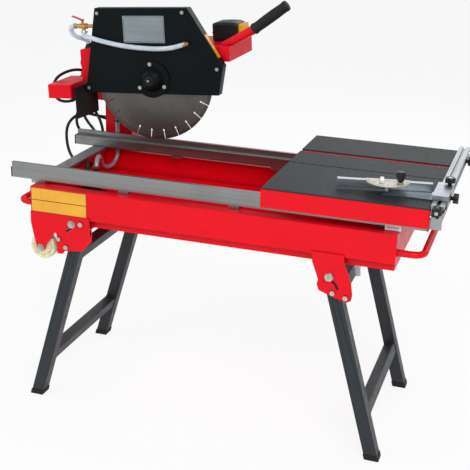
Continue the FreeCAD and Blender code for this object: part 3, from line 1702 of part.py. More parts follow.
node("gauge_knob", fuse("gauge_knob_piece", knob_stem, knob_head, knob_wing), "gauge_knob")

# ---------------------------------------------------------------- pump, hoses and cables
PUMP_X = "(tray_left + 56)"
pump_base = box("pump_base", ("70", "56", "14"), (f"{PUMP_X} - 35", "-8", f"{PAN_BOTTOM} + frame_sheet"))
pump_case = cylinder("pump_case", "25", "54", "z", (PUMP_X, "20", f"{PAN_BOTTOM} + frame_sheet + 14"))
pump_outlet = cylinder(
    "pump_outlet",
    "7",
    "14",
    "z",
    (f"{PUMP_X} + 9", "32", f"{PAN_BOTTOM} + frame_sheet + 68"),
)
pump_gland = cylinder(
    "pump_gland",
    "6",
    "8",
    "z",
    (f"{PUMP_X} - 13", "20", f"{PAN_BOTTOM} + frame_sheet + 68"),
)
node("water_pump", fuse("pump", pump_base, pump_case, pump_outlet, pump_gland))

pan_low = size("tray_top") - size("panel_height") + size("frame_sheet") - size("pan_drop")
pump_x = size("tray_left") + 56
pump_top = pan_low + size("frame_sheet") + 68
column_near = size("tray_half") + size("bracket_plate")
arm_low = size("column_top") - size("arm_height")
blade_reach = size("blade_r") + size("blade_setback")
centre_x = size("pivot_x") + blade_reach
centre_z = size("pivot_z") + size("blade_rise")
guard_far = size("guard_near") + size("guard_depth")
hood_rear = blade_reach - size("hood_inset")
hood_top = size("hood_top")
lead_r = size("lead_r")
hose_r = size("hose_r")


def cord(label, points, radius, moves_with="frame"):
    """A round cord along straight runs joined by arcs as large as the runs allow."""
    spots = [V(*point) for point in points]
    edges = []
    radii = []
    here = spots[0]
    for k in range(1, len(spots) - 1):
        back = spots[k - 1] - spots[k]
        ahead = spots[k + 1] - spots[k]
        turn = math.pi - back.getAngle(ahead)
        bend = 0.45 * min(back.Length, ahead.Length) / math.tan(turn / 2)
        reach = bend * math.tan(turn / 2)
        start = spots[k] + back.normalize() * reach
        end = spots[k] + ahead.normalize() * reach
        centre_way = (back + ahead).normalize()
        middle = spots[k] + centre_way * (bend / math.cos(turn / 2) - bend)
        edges.append(Part.LineSegment(here, start).toShape())
        edges.append(Part.Arc(start, middle, end).toShape())
        radii.append(round(bend, 1))
        here = end
    edges.append(Part.LineSegment(here, spots[-1]).toShape())
    path = Part.Wire(edges)
    ring = Part.Wire(Part.Circle(spots[0], spots[1] - spots[0], radius).toShape())
    item = doc.addObject("Part::Feature", label + "_tube")
    item.Shape = path.makePipeShell([ring], True, False)
    expected = math.pi * radius**2 * path.Length
    ratio = item.Shape.Volume / expected
    print(f"{label}: length {path.Length:.0f} mm, radii {radii}, volume ratio {ratio:.4f}")
    node(label, item, moves_with)
    return item


# Pump lead: through the left end wall, up past the rear beam's near end and back to the column.
cord(
    "cable_pump",
    [
        (pump_x - 13, 20, pump_top + 8),
        (pump_x - 13, 23, pump_top + 20),
        (pump_x - 18, 42, pump_top + 27),
        (pump_x - 27, 70, pump_top + 16),
        (pump_x - 34, 100, pump_top),
        (pump_x - 52, 114, pump_top - 6),
        (pump_x - 80, 117, pump_top - 8),
        (pump_x - 104, 119, pump_top + 2),
        (pump_x - 120, 120, pump_top + 24),
        (pump_x - 127, 120, pump_top + 54),
        (pump_x - 127, 119, pump_top + 88),
        (pump_x - 121, 124, pump_top + 112),
        (pump_x - 112, 142, pump_top + 126),
        (pump_x - 106, column_near - 58, pump_top + 130),
        (pump_x - 98, column_near - 24, pump_top + 124),
        (pump_x - 84, column_near + 6, pump_top + 112),
        (size("column_left"), column_near + 20, pump_top + 104),
    ],
    lead_r,
)
# Mains lead: from the pivot arm down behind the far rail and back to the column.
cord(
    "cable_main",
    [
        (-10, column_near + 12, arm_low),
        (-11, column_near + 9, arm_low - 13),
        (-13, column_near - 5, arm_low - 30),
        (-15, column_near - 18, arm_low - 50),
        (-14, column_near - 21, arm_low - 76),
        (-4, column_near - 15, arm_low - 99),
        (18, column_near - 3, arm_low - 112),
        (44, column_near + 12, arm_low - 116),
        (size("column_left"), column_near + 24, arm_low - 116),
    ],
    lead_r,
)
# Spare lead in a loop between the far rail and the column, both ends in the pivot arm.
cord(
    "cable_loop",
    [
        (4, column_near + 10, arm_low),
        (3, column_near + 6, arm_low - 13),
        (2, column_near - 7, arm_low - 28),
        (7, column_near - 15, arm_low - 48),
        (22, column_near - 15, arm_low - 69),
        (39, column_near - 15, arm_low - 87),
        (52, column_near - 15, arm_low - 104),
        (63, column_near - 15, arm_low - 107),
        (70, column_near - 15, arm_low - 97),
        (68, column_near - 15, arm_low - 80),
        (62, column_near - 15, arm_low - 60),
        (52, column_near - 14, arm_low - 42),
        (38, column_near - 9, arm_low - 26),
        (28, column_near + 4, arm_low - 14),
        (25, column_near + 10, arm_low),
    ],
    lead_r,
)
# Supply hose: from the pump across the pan, up through the notched flange to the column.
cord(
    "hose_supply",
    [
        (pump_x + 9, 32, pump_top + 14),
        (pump_x + 9, 38, pump_top + 32),
        (pump_x + 4, 62, pump_top + 42),
        (pump_x - 8, 98, pump_top + 26),
        (pump_x - 20, 132, pump_top - 6),
        (pump_x - 17, 162, pump_top - 22),
        (pump_x - 9, column_near - 40, pump_top - 18),
        (pump_x - 5, column_near - 22, pump_top + 4),
        (pump_x - 5, column_near - 19, pump_top + 40),
        (pump_x - 6, column_near - 20, pump_top + 82),
        (pump_x - 5, column_near - 19, pump_top + 118),
        (pump_x - 4, column_near - 13, pump_top + 141),
        (pump_x - 4, column_near, pump_top + 152),
    ],
    6.5,
)
# Drain hose under the pan.
drain_x = tray_right - size("drain_inset")
cord(
    "drain_hose",
    [
        (drain_x, -size("drain_y"), pan_low),
        (drain_x + 1, -size("drain_y"), pan_low - 20),
        (drain_x + 1, -size("drain_y") + 2, pan_low - 44),
        (drain_x + 3, -size("drain_y") + 2, pan_low - 66),
    ],
    7.5,
)


def head_points(points):
    """Points given from the blade's centre as (across, y, up)."""
    return [(centre_x + across, y, centre_z + up) for across, y, up in points]


# Hose from the valve across the near face of the guard to the elbow.
cord(
    "hose_front",
    head_points(
        [
            (-207, guard_far - 18, 132),
            (-206.5, guard_far - 20, 123),
            (-201, guard_far - 28, 118),
            (-190, guard_far - 35.5, 117),
            (-174, guard_far - 38.5, 114),
            (-152, guard_far - 39, 108),
            (-122, guard_far - 38.5, 101),
            (-86, guard_far - 38, 94),
            (-40, guard_far - 38, 88.5),
            (10, guard_far - 38, 85.5),
            (56, guard_far - 39, 87),
            (86, guard_far - 40, 93.5),
            (108, guard_far - 40, 100),
        ]
    ),
    hose_r,
    "head",
)
# Hose from the valve's rear end, round and back behind the guard on to the hood.
cord(
    "hose_loop",
    head_points(
        [
            (-229, guard_far - 18, 145),
            (-240, guard_far - 18, 144.5),
            (-248, guard_far - 16.5, 138),
            (-250, guard_far - 12, 128),
            (-244.5, guard_far - 5, 117),
            (-235, guard_far + 4, 109),
            (-224.5, guard_far + 13, 104.5),
            (-217.5, guard_far + 20, 99.5),
            (-215.1, guard_far + 22, hood_top + 2.6),
            (-213, guard_far + 22, hood_top - 9.75),
        ]
    ),
    hose_r,
    "head",
)
# Lead wrapped round the rear beam, from the hood's rear face to the beam's underside.
beam_top = size("beam_height") / 2 - size("blade_rise")
beam_low = -size("beam_height") / 2 - size("blade_rise")
beam_right = size("beam_width") / 2 - blade_reach
beam_left = -size("beam_width") / 2 - blade_reach
cord(
    "cable_wrap",
    head_points(
        [
            (-hood_rear, 240, -2),
            (-hood_rear - 16, 238, 0),
            (-264, 228, 6),
            (-278, 210, 10),
            (-292, 190, 8),
            (-304, 170, 2),
            (beam_left - 10, 151, beam_top + 5),
            (beam_left - 15, 138, beam_top - 12),
            (beam_left - 12, 132, beam_low + 4),
            (beam_left + 2, 126, beam_low - 13),
            (beam_left + 22, 123, beam_low - 18),
            (beam_right - 26, 121, beam_low - 16),
            (beam_right - 12, 120, beam_low - 10),
            (beam_right - 8, 120, beam_low),
        ]
    ),
    lead_r,
    "head",
)

# ---------------------------------------------------------------- tilt, origin and output
doc.recompute()
pivot = V(size("pivot_x"), 0, size("pivot_z"))
tilt = FreeCAD.Placement(V(), FreeCAD.Rotation(V(0, 1, 0), -size("head_tilt")), pivot)
HEAD_BODIES = ("head", "spindle", "start_button", "stop_button", "valve_lever")
gauge_centre = V(size("cart_left") + size("cart_length") - size("gauge_inset"), -size("gauge_y"), 0)
yaw = FreeCAD.Placement(V(), FreeCAD.Rotation(V(0, 0, 1), size("gauge_yaw")), gauge_centre)
for item in NODES:
    if BODY_OF[item.Label] in HEAD_BODIES:
        item.Placement = tilt.multiply(item.Placement)
    if BODY_OF[item.Label] in ("gauge_swivel", "gauge_knob"):
        item.Placement = yaw.multiply(item.Placement)
doc.recompute()

CORDS = ("cable_pump", "cable_main", "cable_loop", "cable_wrap", "hose_supply", "hose_front", "hose_loop")
whole = FreeCAD.BoundBox()
for item in NODES:
    if item.Label not in CORDS:
        whole.add(item.Shape.BoundBox)
origin = V((whole.XMin + whole.XMax) / 2, (whole.YMin + whole.YMax) / 2, whole.ZMin)
shift = FreeCAD.Placement(-origin, FreeCAD.Rotation())
for item in NODES:
    item.Placement = shift.multiply(item.Placement)
doc.recompute()

faults = [item.Label for item in doc.Objects if "Invalid" in item.State or "Error" in item.State]
for item in NODES:
    if item.Shape.isNull() or not item.Shape.isValid() or not item.Shape.Solids:
        faults.append(item.Label + " shape")
if faults:
    raise RuntimeError("failed objects: " + ", ".join(faults))
if len(NODES) > 60:
    raise RuntimeError("too many nodes")
for item in NODES:
    item.Shape.exportStep(f"parts/{item.Label}.step")
print(f"origin at {origin.x:.3f}, {origin.y:.3f}, {origin.z:.3f}")
print(f"size {whole.XLength:.1f} x {whole.YLength:.1f} x {whole.ZLength:.1f}, {len(NODES)} nodes")
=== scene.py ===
"""Looks of the tile cutter: the CAD nodes' materials, hoses and cables, and the fine pieces around them."""

import json
import math

import bmesh
import bpy
from mathutils import Matrix, Vector


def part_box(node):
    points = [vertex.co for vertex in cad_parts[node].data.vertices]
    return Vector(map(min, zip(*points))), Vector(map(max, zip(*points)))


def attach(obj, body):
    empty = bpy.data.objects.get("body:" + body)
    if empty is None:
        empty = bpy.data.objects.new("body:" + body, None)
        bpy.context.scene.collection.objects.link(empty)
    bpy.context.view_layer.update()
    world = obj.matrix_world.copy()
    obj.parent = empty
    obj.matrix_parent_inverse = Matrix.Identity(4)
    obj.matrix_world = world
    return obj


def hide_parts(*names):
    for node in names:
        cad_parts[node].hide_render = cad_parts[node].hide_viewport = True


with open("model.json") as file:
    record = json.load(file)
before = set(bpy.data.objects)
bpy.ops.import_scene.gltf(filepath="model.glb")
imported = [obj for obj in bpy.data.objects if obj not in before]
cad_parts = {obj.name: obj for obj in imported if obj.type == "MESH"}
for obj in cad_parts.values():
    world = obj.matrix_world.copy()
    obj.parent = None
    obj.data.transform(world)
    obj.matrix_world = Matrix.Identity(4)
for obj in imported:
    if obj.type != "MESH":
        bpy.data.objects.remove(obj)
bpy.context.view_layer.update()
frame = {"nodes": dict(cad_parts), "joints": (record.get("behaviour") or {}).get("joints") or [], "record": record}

NODES = frame["nodes"]
JOINTS = {joint["name"]: joint for joint in frame["joints"]}

# ---------- places
# Layout: x from the rails' left ends, y from midway between the rails, z from the floor, in metres.
RAIL_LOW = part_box("rail_near")[0]
FAR_RAIL_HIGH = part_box("rail_far")[1]
MACHINE = Matrix.Translation((RAIL_LOW.x, (RAIL_LOW.y + FAR_RAIL_HIGH.y) / 2, 0))
PUMP_X, PUMP_Y = 0.125, 0.020
SUPPLY_D, HOSE_D, LEAD_D = 0.013, 0.014, 0.0086
SUPPLY_R, HOSE_R, LEAD_R = SUPPLY_D / 2, HOSE_D / 2, LEAD_D / 2
# Head: across, y and up from the blade's centre, with the head level before it tilts.
BLADE = Vector(JOINTS["blade_spin"]["pos_m"])
TILT = math.radians(4)
HEAD = Matrix.Translation((BLADE.x, MACHINE.translation.y, BLADE.z)) @ Matrix.Rotation(-TILT, 4, "Y")
# Mitre gauge: from its swivel post, along its fence.
SWIVEL = Vector(JOINTS["gauge_swivel"]["pos_m"])
GAUGE = Matrix.Translation((SWIVEL.x, SWIVEL.y, 0)) @ Matrix.Rotation(math.radians(11.2), 4, "Z")


def joint_place(name, layout):
    """A joint's own point, in the axes of a layout."""
    return layout.inverted() @ Vector(JOINTS[name]["pos_m"])


ON_FRAME, ON_HEAD = (MACHINE, "frame"), (HEAD, "head")
WHEEL = joint_place("wheel_near_spin", MACHINE)
LEG_PIVOTS = {body: joint_place(body + "_fold", MACHINE) for body in ("legs_left", "legs_right")}


def add_object(name, data):
    thing = bpy.data.objects.new(name, data)
    bpy.context.scene.collection.objects.link(thing)
    return thing


# ---------- camera
def make_camera():
    yaw, pitch, roll = math.radians(17.8), math.radians(20.14), math.radians(1.75)
    ahead = Vector((-math.sin(yaw) * math.cos(pitch), math.cos(yaw) * math.cos(pitch), -math.sin(pitch)))
    right = Vector((math.cos(yaw), math.sin(yaw), 0))
    up = right.cross(ahead)
    turned_right = right * math.cos(roll) + up * math.sin(roll)
    turned_up = up * math.cos(roll) - right * math.sin(roll)
    camera = add_object("camera", bpy.data.cameras.new("camera"))
    camera.data.sensor_width = 36
    camera.data.lens = 77.06
    camera.data.clip_end = 50
    stand = MACHINE @ Vector((1.351, -2.4523, 1.4185))
    camera.matrix_world = Matrix.Translation(stand) @ Matrix(
        (
            (turned_right.x, turned_up.x, -ahead.x, 0),
            (turned_right.y, turned_up.y, -ahead.y, 0),
            (turned_right.z, turned_up.z, -ahead.z, 0),
            (0, 0, 0, 1),
        )
    )
    bpy.context.scene.camera = camera


make_camera()


# ---------- materials
def srgb(red, green, blue):
    """A colour given as it looks on screen, 0 to 255, as the linear values that shaders take."""

    def linear(value):
        value /= 255
        return value / 12.92 if value <= 0.04045 else ((value + 0.055) / 1.055) ** 2.4

    return (linear(red), linear(green), linear(blue), 1.0)


def darker(colour, share):
    return tuple(c * share for c in colour[:3]) + (1.0,)


class Look:
    """A material under construction: one Principled shader and the textures that feed it, in metres."""

    def __init__(self, name, colour, roughness, metallic=0.0, **sockets):
        self.material = bpy.data.materials.new(name)
        self.material.use_nodes = True
        self.tree = self.material.node_tree
        self.shader = self.tree.nodes["Principled BSDF"]
        self.colour = colour
        self.shader.inputs["Base Color"].default_value = colour
        self.shader.inputs["Roughness"].default_value = roughness
        self.shader.inputs["Metallic"].default_value = metallic
        for socket, value in sockets.items():
            self.shader.inputs[socket.replace("_", " ")].default_value = value
        self.place = self.add("ShaderNodeTexCoord").outputs["Object"]
        self.normal = None

    def add(self, kind, **settings):
        node = self.tree.nodes.new(kind)
        for name, value in settings.items():
            setattr(node, name, value)
        return node

    def feed(self, source, socket):
        self.tree.links.new(source, socket)

    def stretched(self, stretch):
        mapping = self.add("ShaderNodeMapping")
        mapping.inputs["Scale"].default_value = stretch
        self.feed(self.place, mapping.inputs["Vector"])
        return mapping.outputs["Vector"]

    def noise(self, scale, detail=3.0, stretch=(1, 1, 1)):
        node = self.add("ShaderNodeTexNoise")
        node.inputs["Scale"].default_value = scale
        node.inputs["Detail"].default_value = detail
        self.feed(self.stretched(stretch), node.inputs["Vector"])
        return node.outputs["Fac"]

    def cells(self, scale):
        node = self.add("ShaderNodeTexVoronoi")
        node.inputs["Scale"].default_value = scale
        self.feed(self.place, node.inputs["Vector"])
        return node.outputs["Distance"]

    def spread(self, source, low, high, start=0.3, end=0.7):
        """Maps a texture's start..end to low..high."""
        node = self.add("ShaderNodeMapRange")
        for name, value in (("From Min", start), ("From Max", end), ("To Min", low), ("To Max", high)):
            node.inputs[name].default_value = value
        self.feed(source, node.inputs["Value"])
        return node.outputs["Result"]

    def maths(self, operation, first, second):
        node = self.add("ShaderNodeMath", operation=operation)
        for socket, value in zip(node.inputs, (first, second)):
            if isinstance(value, (int, float)):
                socket.default_value = value
            else:
                self.feed(value, socket)
        return node.outputs["Value"]

    def tint(self, mask, other):
        """Goes from the colour so far to another where the mask is 1."""
        node = self.add("ShaderNodeMix", data_type="RGBA")
        current = self.shader.inputs["Base Color"]
        if current.is_linked:
            self.feed(current.links[0].from_socket, node.inputs["A"])
        else:
            node.inputs["A"].default_value = self.colour
        node.inputs["B"].default_value = other
        self.feed(mask, node.inputs["Factor"])
        self.feed(node.outputs["Result"], current)
        return self

    def vary(self, scale, amount):
        """Soft patches a little darker than the base."""
        return self.tint(self.spread(self.noise(scale), 0, 1), darker(self.colour, 1 - amount))

    def gloss(self, source, low, high):
        self.feed(self.spread(source, low, high), self.shader.inputs["Roughness"])
        return self

    def bump(self, height, strength, distance):
        node = self.add("ShaderNodeBump")
        node.inputs["Strength"].default_value = strength
        node.inputs["Distance"].default_value = distance
        self.feed(height, node.inputs["Height"])
        if self.normal is not None:
            self.feed(self.normal, node.inputs["Normal"])
        self.normal = node.outputs["Normal"]
        self.feed(self.normal, self.shader.inputs["Normal"])
        return self

    def grime(self, colour, reach=0.012, amount=0.5):
        """Darkens the corners, creases and recesses with painted shade, where ambient occlusion finds them within
        reach.
        """
        hidden = self.add("ShaderNodeAmbientOcclusion", samples=6)
        hidden.inputs["Distance"].default_value = reach
        return self.tint(self.spread(hidden.outputs["AO"], amount, 0, 0.35, 0.9), colour)

    def worn_edges(self, colour, width=0.0012, amount=0.6):
        """Lightens the outer edges to a lighter copy of the colour: a painted highlight along them, broken up by a
        fine noise like wear.
        """
        rounded = self.add("ShaderNodeBevel", samples=4)
        rounded.inputs["Radius"].default_value = width
        flat = self.add("ShaderNodeNewGeometry").outputs["Normal"]
        dot = self.add("ShaderNodeVectorMath", operation="DOT_PRODUCT")
        self.feed(rounded.outputs["Normal"], dot.inputs[0])
        self.feed(flat, dot.inputs[1])
        edge = self.spread(dot.outputs["Value"], 1, 0, 0.80, 0.98)
        broken = self.spread(self.noise(60, 4), 0, amount, 0.4, 0.65)
        return self.tint(self.maths("MULTIPLY", edge, broken), colour)


def red_paint():
    finish = {"Specular_IOR_Level": 0.16, "Coat_Weight": 0.05, "Coat_Roughness": 0.2}
    look = Look("red_paint", srgb(228, 5, 28), 0.34, **finish)
    # Painted shade darkens the paint's corners and recesses, and a painted highlight, broken up like wear,
    # lightens its edges.
    look.vary(9, 0.08).grime(srgb(104, 2, 10), 0.02, 0.5).worn_edges(srgb(236, 60, 66), 0.0008, 0.25)
    look.gloss(look.noise(40, 3), 0.28, 0.42)
    return look.bump(look.noise(420, 2), 0.06, 0.0003).material


def black_paint(name, shade, rough, peel, shine):
    look = Look(name, srgb(*shade), rough, Specular_IOR_Level=shine)
    # Painted shade darkens the paint's corners and recesses, and a painted highlight, broken up like wear,
    # lightens its edges.
    look.vary(14, 0.15).grime(srgb(6, 7, 8), 0.015, 0.5).worn_edges(srgb(84, 90, 94), 0.0008, 0.3)
    look.gloss(look.noise(55, 3), rough - 0.06, rough + 0.08)
    return look.bump(look.noise(520, 2), peel, 0.0004).material


def drawn_aluminium(name, along, shade=(160, 161, 159)):
    """Extruded aluminium with die lines along one axis and a few darker handling marks."""
    stretch = [900.0, 900.0, 900.0]
    stretch["xyz".index(along)] = 2.0
    look = Look(name, srgb(*shade), 0.34, 1.0, Anisotropic=0.5)
    lines = look.noise(1, 2, stretch)
    look.tint(look.spread(lines, 0, 0.5), darker(look.colour, 0.45))
    look.tint(look.spread(look.noise(7, 4), 0, 0.5, 0.45, 0.75), darker(look.colour, 0.6))
    # Painted shade darkens the corners and recesses.
    look.grime(srgb(66, 64, 62), 0.01, 0.6)
    look.gloss(look.noise(1, 2, [s * 0.6 for s in stretch]), 0.26, 0.46)
    return look.bump(lines, 0.12, 0.0002).material


def zinc():
    look = Look("zinc_steel", srgb(206, 202, 188), 0.3, 1.0)
    # Painted shade darkens the corners and recesses.
    look.vary(30, 0.25).grime(srgb(70, 64, 56), 0.004, 0.6)
    look.gloss(look.noise(160, 3), 0.2, 0.42)
    return look.bump(look.noise(900, 2), 0.08, 0.0002).material


def blade_steel():
    """Ground steel: rings about the shaft, with a rougher grey rim of diamond segments."""
    rim = (0.1645, 0.1655)
    look = Look("blade_steel", srgb(120, 117, 112), 0.34, 0.9, Anisotropic=0.6)
    tangent = look.add("ShaderNodeTangent", direction_type="RADIAL", axis="Y")
    look.feed(tangent.outputs["Tangent"], look.shader.inputs["Tangent"])
    shift = look.add("ShaderNodeVectorMath", operation="SUBTRACT")
    look.feed(look.place, shift.inputs[0])
    shift.inputs[1].default_value = (BLADE.x, BLADE.y, BLADE.z)
    flat = look.add("ShaderNodeVectorMath", operation="MULTIPLY")
    look.feed(shift.outputs["Vector"], flat.inputs[0])
    flat.inputs[1].default_value = (1, 0, 1)
    length = look.add("ShaderNodeVectorMath", operation="LENGTH")
    look.feed(flat.outputs["Vector"], length.inputs[0])
    radius = length.outputs["Value"]
    rings = look.add("ShaderNodeTexNoise", noise_dimensions="1D")
    rings.inputs["Scale"].default_value = 900
    rings.inputs["Detail"].default_value = 2
    look.feed(radius, rings.inputs["W"])
    look.tint(look.spread(rings.outputs["Fac"], 0, 0.4), srgb(84, 83, 80))
    look.tint(look.spread(look.noise(24, 4), 0, 0.4, 0.4, 0.75), srgb(98, 90, 82))
    look.tint(look.spread(radius, 0, 0.9, *rim), srgb(96, 94, 88))
    look.gloss(rings.outputs["Fac"], 0.22, 0.4)
    look.bump(rings.outputs["Fac"], 0.10, 0.0002)
    grit = look.maths("MULTIPLY", look.noise(1500, 2), look.spread(radius, 0, 1, *rim))
    return look.bump(grit, 0.4, 0.0003).material


def rubber(name, shade, rough, grain, depth):
    look = Look(name, srgb(*shade), rough, Specular_IOR_Level=0.35)
    # Painted shade darkens the corners and recesses.
    look.vary(25, 0.3).grime(srgb(8, 8, 8), 0.006, 0.4)
    look.gloss(look.noise(120, 3), rough - 0.08, rough + 0.08)
    return look.bump(look.noise(grain, 3), depth, 0.0004).material


def mat_rubber():
    """Dense cart rubber: charcoal with a pebbled surface, fine light flecks and faint wipe marks."""
    look = Look("mat_rubber", srgb(44, 48, 50), 0.66, Specular_IOR_Level=0.25)
    look.vary(5, 0.22)
    look.tint(look.spread(look.noise(1300, 2), 0, 0.4, 0.55, 0.72), srgb(78, 84, 86))
    look.tint(look.spread(look.noise(6, 3, (1, 9, 1)), 0, 0.2, 0.5, 0.8), srgb(72, 78, 80))
    look.gloss(look.noise(300, 3), 0.5, 0.72)
    look.bump(look.cells(420), 0.35, 0.0005)
    return look.bump(look.noise(1200, 2), 0.2, 0.0002).material


def plastic(name, shade, rough, grain=700, depth=0.12, **sockets):
    look = Look(name, srgb(*shade), rough, **sockets)
    # Painted shade darkens the corners and recesses.
    look.vary(30, 0.12).grime(darker(look.colour, 0.35), 0.005, 0.45)
    look.gloss(look.noise(90, 3), rough - 0.05, rough + 0.07)
    return look.bump(look.noise(grain, 2), depth, 0.0003).material


def film(name, shade):
    """Bare printed film: even colour with a slight sheen change where it was pressed on."""
    look = Look(name, srgb(*shade), 0.32, Coat_Weight=0.3, Coat_Roughness=0.2)
    look.vary(18, 0.12).gloss(look.noise(24, 2), 0.24, 0.42)
    return look.bump(look.noise(60, 2), 0.08, 0.0003).material


def clear_hose(name, shade, patch):
    finish = {"Transmission_Weight": 0.3, "IOR": 1.42, "Coat_Weight": 0.8, "Coat_Roughness": 0.04}
    look = Look(name, srgb(*shade), 0.1, **finish)
    look.tint(look.spread(look.noise(60, 3), 0, 0.45, 0.4, 0.7), srgb(*patch))
    look.gloss(look.noise(140, 2), 0.08, 0.2)
    return look.bump(look.noise(180, 2), 0.12, 0.0004).material


def brass():
    look = Look("brass", srgb(206, 170, 96), 0.28, 1.0)
    # Painted shade darkens the corners and recesses.
    look.vary(60, 0.3).grime(srgb(74, 52, 22), 0.004, 0.6)
    return look.gloss(look.noise(200, 3), 0.2, 0.4).bump(look.noise(900, 2), 0.1, 0.0002).material


RED = red_paint()
LEG_BLACK = black_paint("black_paint", (44, 50, 54), 0.38, 0.08, 0.3)
GUARD_BLACK = black_paint("guard_black", (13, 20, 22), 0.34, 0.04, 0.1)
SHAFT_BLACK = black_paint("shaft_black", (30, 31, 32), 0.4, 0.06, 0.3)
RAIL = drawn_aluminium("rail_aluminium", "x")
CROSS = drawn_aluminium("cross_aluminium", "y", (176, 178, 180))
PLATE = drawn_aluminium("plate_aluminium", "x", (172, 184, 188))
GAUGE_ALLOY = drawn_aluminium("gauge_aluminium", "x", (176, 182, 188))
ZINC = zinc()
BLADE_STEEL = blade_steel()
MAT = mat_rubber()
RUBBER = rubber("black_rubber", (24, 24, 25), 0.6, 700, 0.2)
CABLE = rubber("cable_rubber", (20, 20, 21), 0.42, 500, 0.08)
BLACK_PLASTIC = plastic("black_plastic", (22, 23, 25), 0.42, Specular_IOR_Level=0.35)
CREAM = plastic("cream_nylon", (238, 230, 190), 0.42, 500, 0.1, Subsurface_Weight=0.15)
NYLON = plastic("nylon", (232, 232, 226), 0.4)
YELLOW_LABEL = film("yellow_label", (236, 172, 34))
ORANGE = film("orange_film", (244, 160, 22))
YELLOW_PLASTIC = plastic("yellow_plastic", (246, 176, 20), 0.35)
BEIGE = plastic("beige_plastic", (202, 194, 174), 0.38)
GREEN = plastic("green_plastic", (24, 130, 48), 0.3)
RED_PLASTIC = plastic("red_plastic", (206, 18, 24), 0.3)
WHITE_PLASTIC = plastic("white_plastic", (240, 240, 236), 0.35)
INK = plastic("ink", (28, 26, 24), 0.5)
HOSE = clear_hose("clear_hose", (228, 238, 246), (160, 198, 222))
# The supply hose in the tray: its darker pinkish grey is the red tray's reflected light and its shade, painted
# into the colour.
HOSE_TINTED_BY_TRAY = clear_hose("hose_tinted_by_tray", (176, 158, 168), (138, 112, 126))
BRASS = brass()

SLOT_LOOKS = {
    "red_paint": RED,
    "black_paint": LEG_BLACK,
    "aluminium": RAIL,
    "plate_aluminium": PLATE,
    "zinc_steel": ZINC,
    "blade_steel": BLADE_STEEL,
    "mat_rubber": MAT,
    "black_rubber": RUBBER,
    "cable_rubber": CABLE,
    "black_plastic": BLACK_PLASTIC,
    "cream_nylon": CREAM,
    "nylon": NYLON,
    "yellow_label": YELLOW_LABEL,
    "orange_film": ORANGE,
    "yellow_plastic": YELLOW_PLASTIC,
    "beige_plastic": BEIGE,
    "green_plastic": GREEN,
    "red_plastic": RED_PLASTIC,
    "clear_hose": HOSE,
    "brass": BRASS,
}
OWN_LOOKS = {
    "cross_bars": CROSS,
    "fence_bar": CROSS,
    "gauge_slider": GAUGE_ALLOY,
    "gauge_fence": GAUGE_ALLOY,
    "guard_plate": GUARD_BLACK,
    "guard_shell": GUARD_BLACK,
    "hub_housing": GUARD_BLACK,
    "motor": GUARD_BLACK,
    "arbor": SHAFT_BLACK,
}
SOFTENED_TO = {
    0.0005: ("gauge_fence",),
    0.0006: (
        "frame_bolts", "fence_bar", "cross_bars", "gauge_slider", "rail_caps", "valve_lever",
        "frame_side_near", "frame_side_far", "water_pan",
    ),
    0.0007: ("rail_near", "rail_far", "cart_frame", "brackets_left", "brackets_right"),
    0.0008: ("guard_plate", "cart_mats", "start_button", "stop_button", "cart_glides"),
    0.0012: ("arm_hood", "pivot_arm", "guard_shell", "fence_knobs", "slider_knobs"),
    0.0015: ("feet_left", "feet_right", "gauge_knob"),
    0.0018: ("leg_frame_left", "leg_frame_right"),
    0.002: ("column",),
    0.0022: ("rear_beam",),
    0.0035: ("switch_plate",),
    0.007: ("switch_box",),
}
SOFTENED = {name: width for width, names in SOFTENED_TO.items() for name in names}


def finish_nodes():
    for part in frame["record"]["subparts"]:
        name, slot = part["node"], part["material_slot"]
        node = NODES[name]
        node.data.materials.clear()
        node.data.materials.append(OWN_LOOKS.get(name, SLOT_LOOKS[slot]))
        if name in SOFTENED:
            weld = node.modifiers.new("weld", "WELD")
            weld.merge_threshold = 0.00002
            bevel = node.modifiers.new("bevel", "BEVEL")
            bevel.width = SOFTENED[name]
            bevel.segments = 2
            bevel.limit_method = "ANGLE"
            bevel.angle_limit = math.radians(40)
            bevel.use_clamp_overlap = True


finish_nodes()


# ---------- builders
def settle(piece, matrix, body, slot, material=None):
    """Puts a piece in place, gives it its own or its slot's look, and lets it ride on its body."""
    piece.matrix_world = matrix
    piece.data.materials.append(material or SLOT_LOOKS[slot])
    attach(piece, body)
    return piece


def from_bmesh(name, shape, smooth=True):
    mesh = bpy.data.meshes.new(name)
    bmesh.ops.recalc_face_normals(shape, faces=shape.faces)
    shape.to_mesh(mesh)
    shape.free()
    if smooth:
        mesh.shade_smooth()
        mesh.set_sharp_from_angle(angle=math.radians(35))
    return add_object(name, mesh)


def absorb(shape, other, matrix):
    """Moves the faces of one shape into another."""
    other.transform(matrix)
    mesh = bpy.data.meshes.new("moved")
    other.to_mesh(mesh)
    other.free()
    shape.from_mesh(mesh)
    bpy.data.meshes.remove(mesh)


def skin(shape, rings):
    """Joins rings of vertices into one surface, and closes its two ends."""
    count = len(rings[0])
    for below, above in zip(rings, rings[1:]):
        for k in range(count):
            after = (k + 1) % count
            shape.faces.new((below[k], below[after], above[after], above[k]))
    shape.faces.new(list(reversed(rings[0])))
    shape.faces.new(rings[-1])


def block(shape, low, high, width=0.0):
    """Adds a box between two corners, with its edges rounded."""
    size = Vector(high) - Vector(low)
    middle = (Vector(high) + Vector(low)) / 2
    place = Matrix.Translation(middle) @ Matrix.Diagonal((*size, 1))
    made = bmesh.ops.create_cube(shape, size=1, matrix=place)
    if width:
        edges = {edge for vert in made["verts"] for edge in vert.link_edges}
        bmesh.ops.bevel(shape, geom=list(edges), offset=width, segments=2, affect="EDGES", profile=0.5)


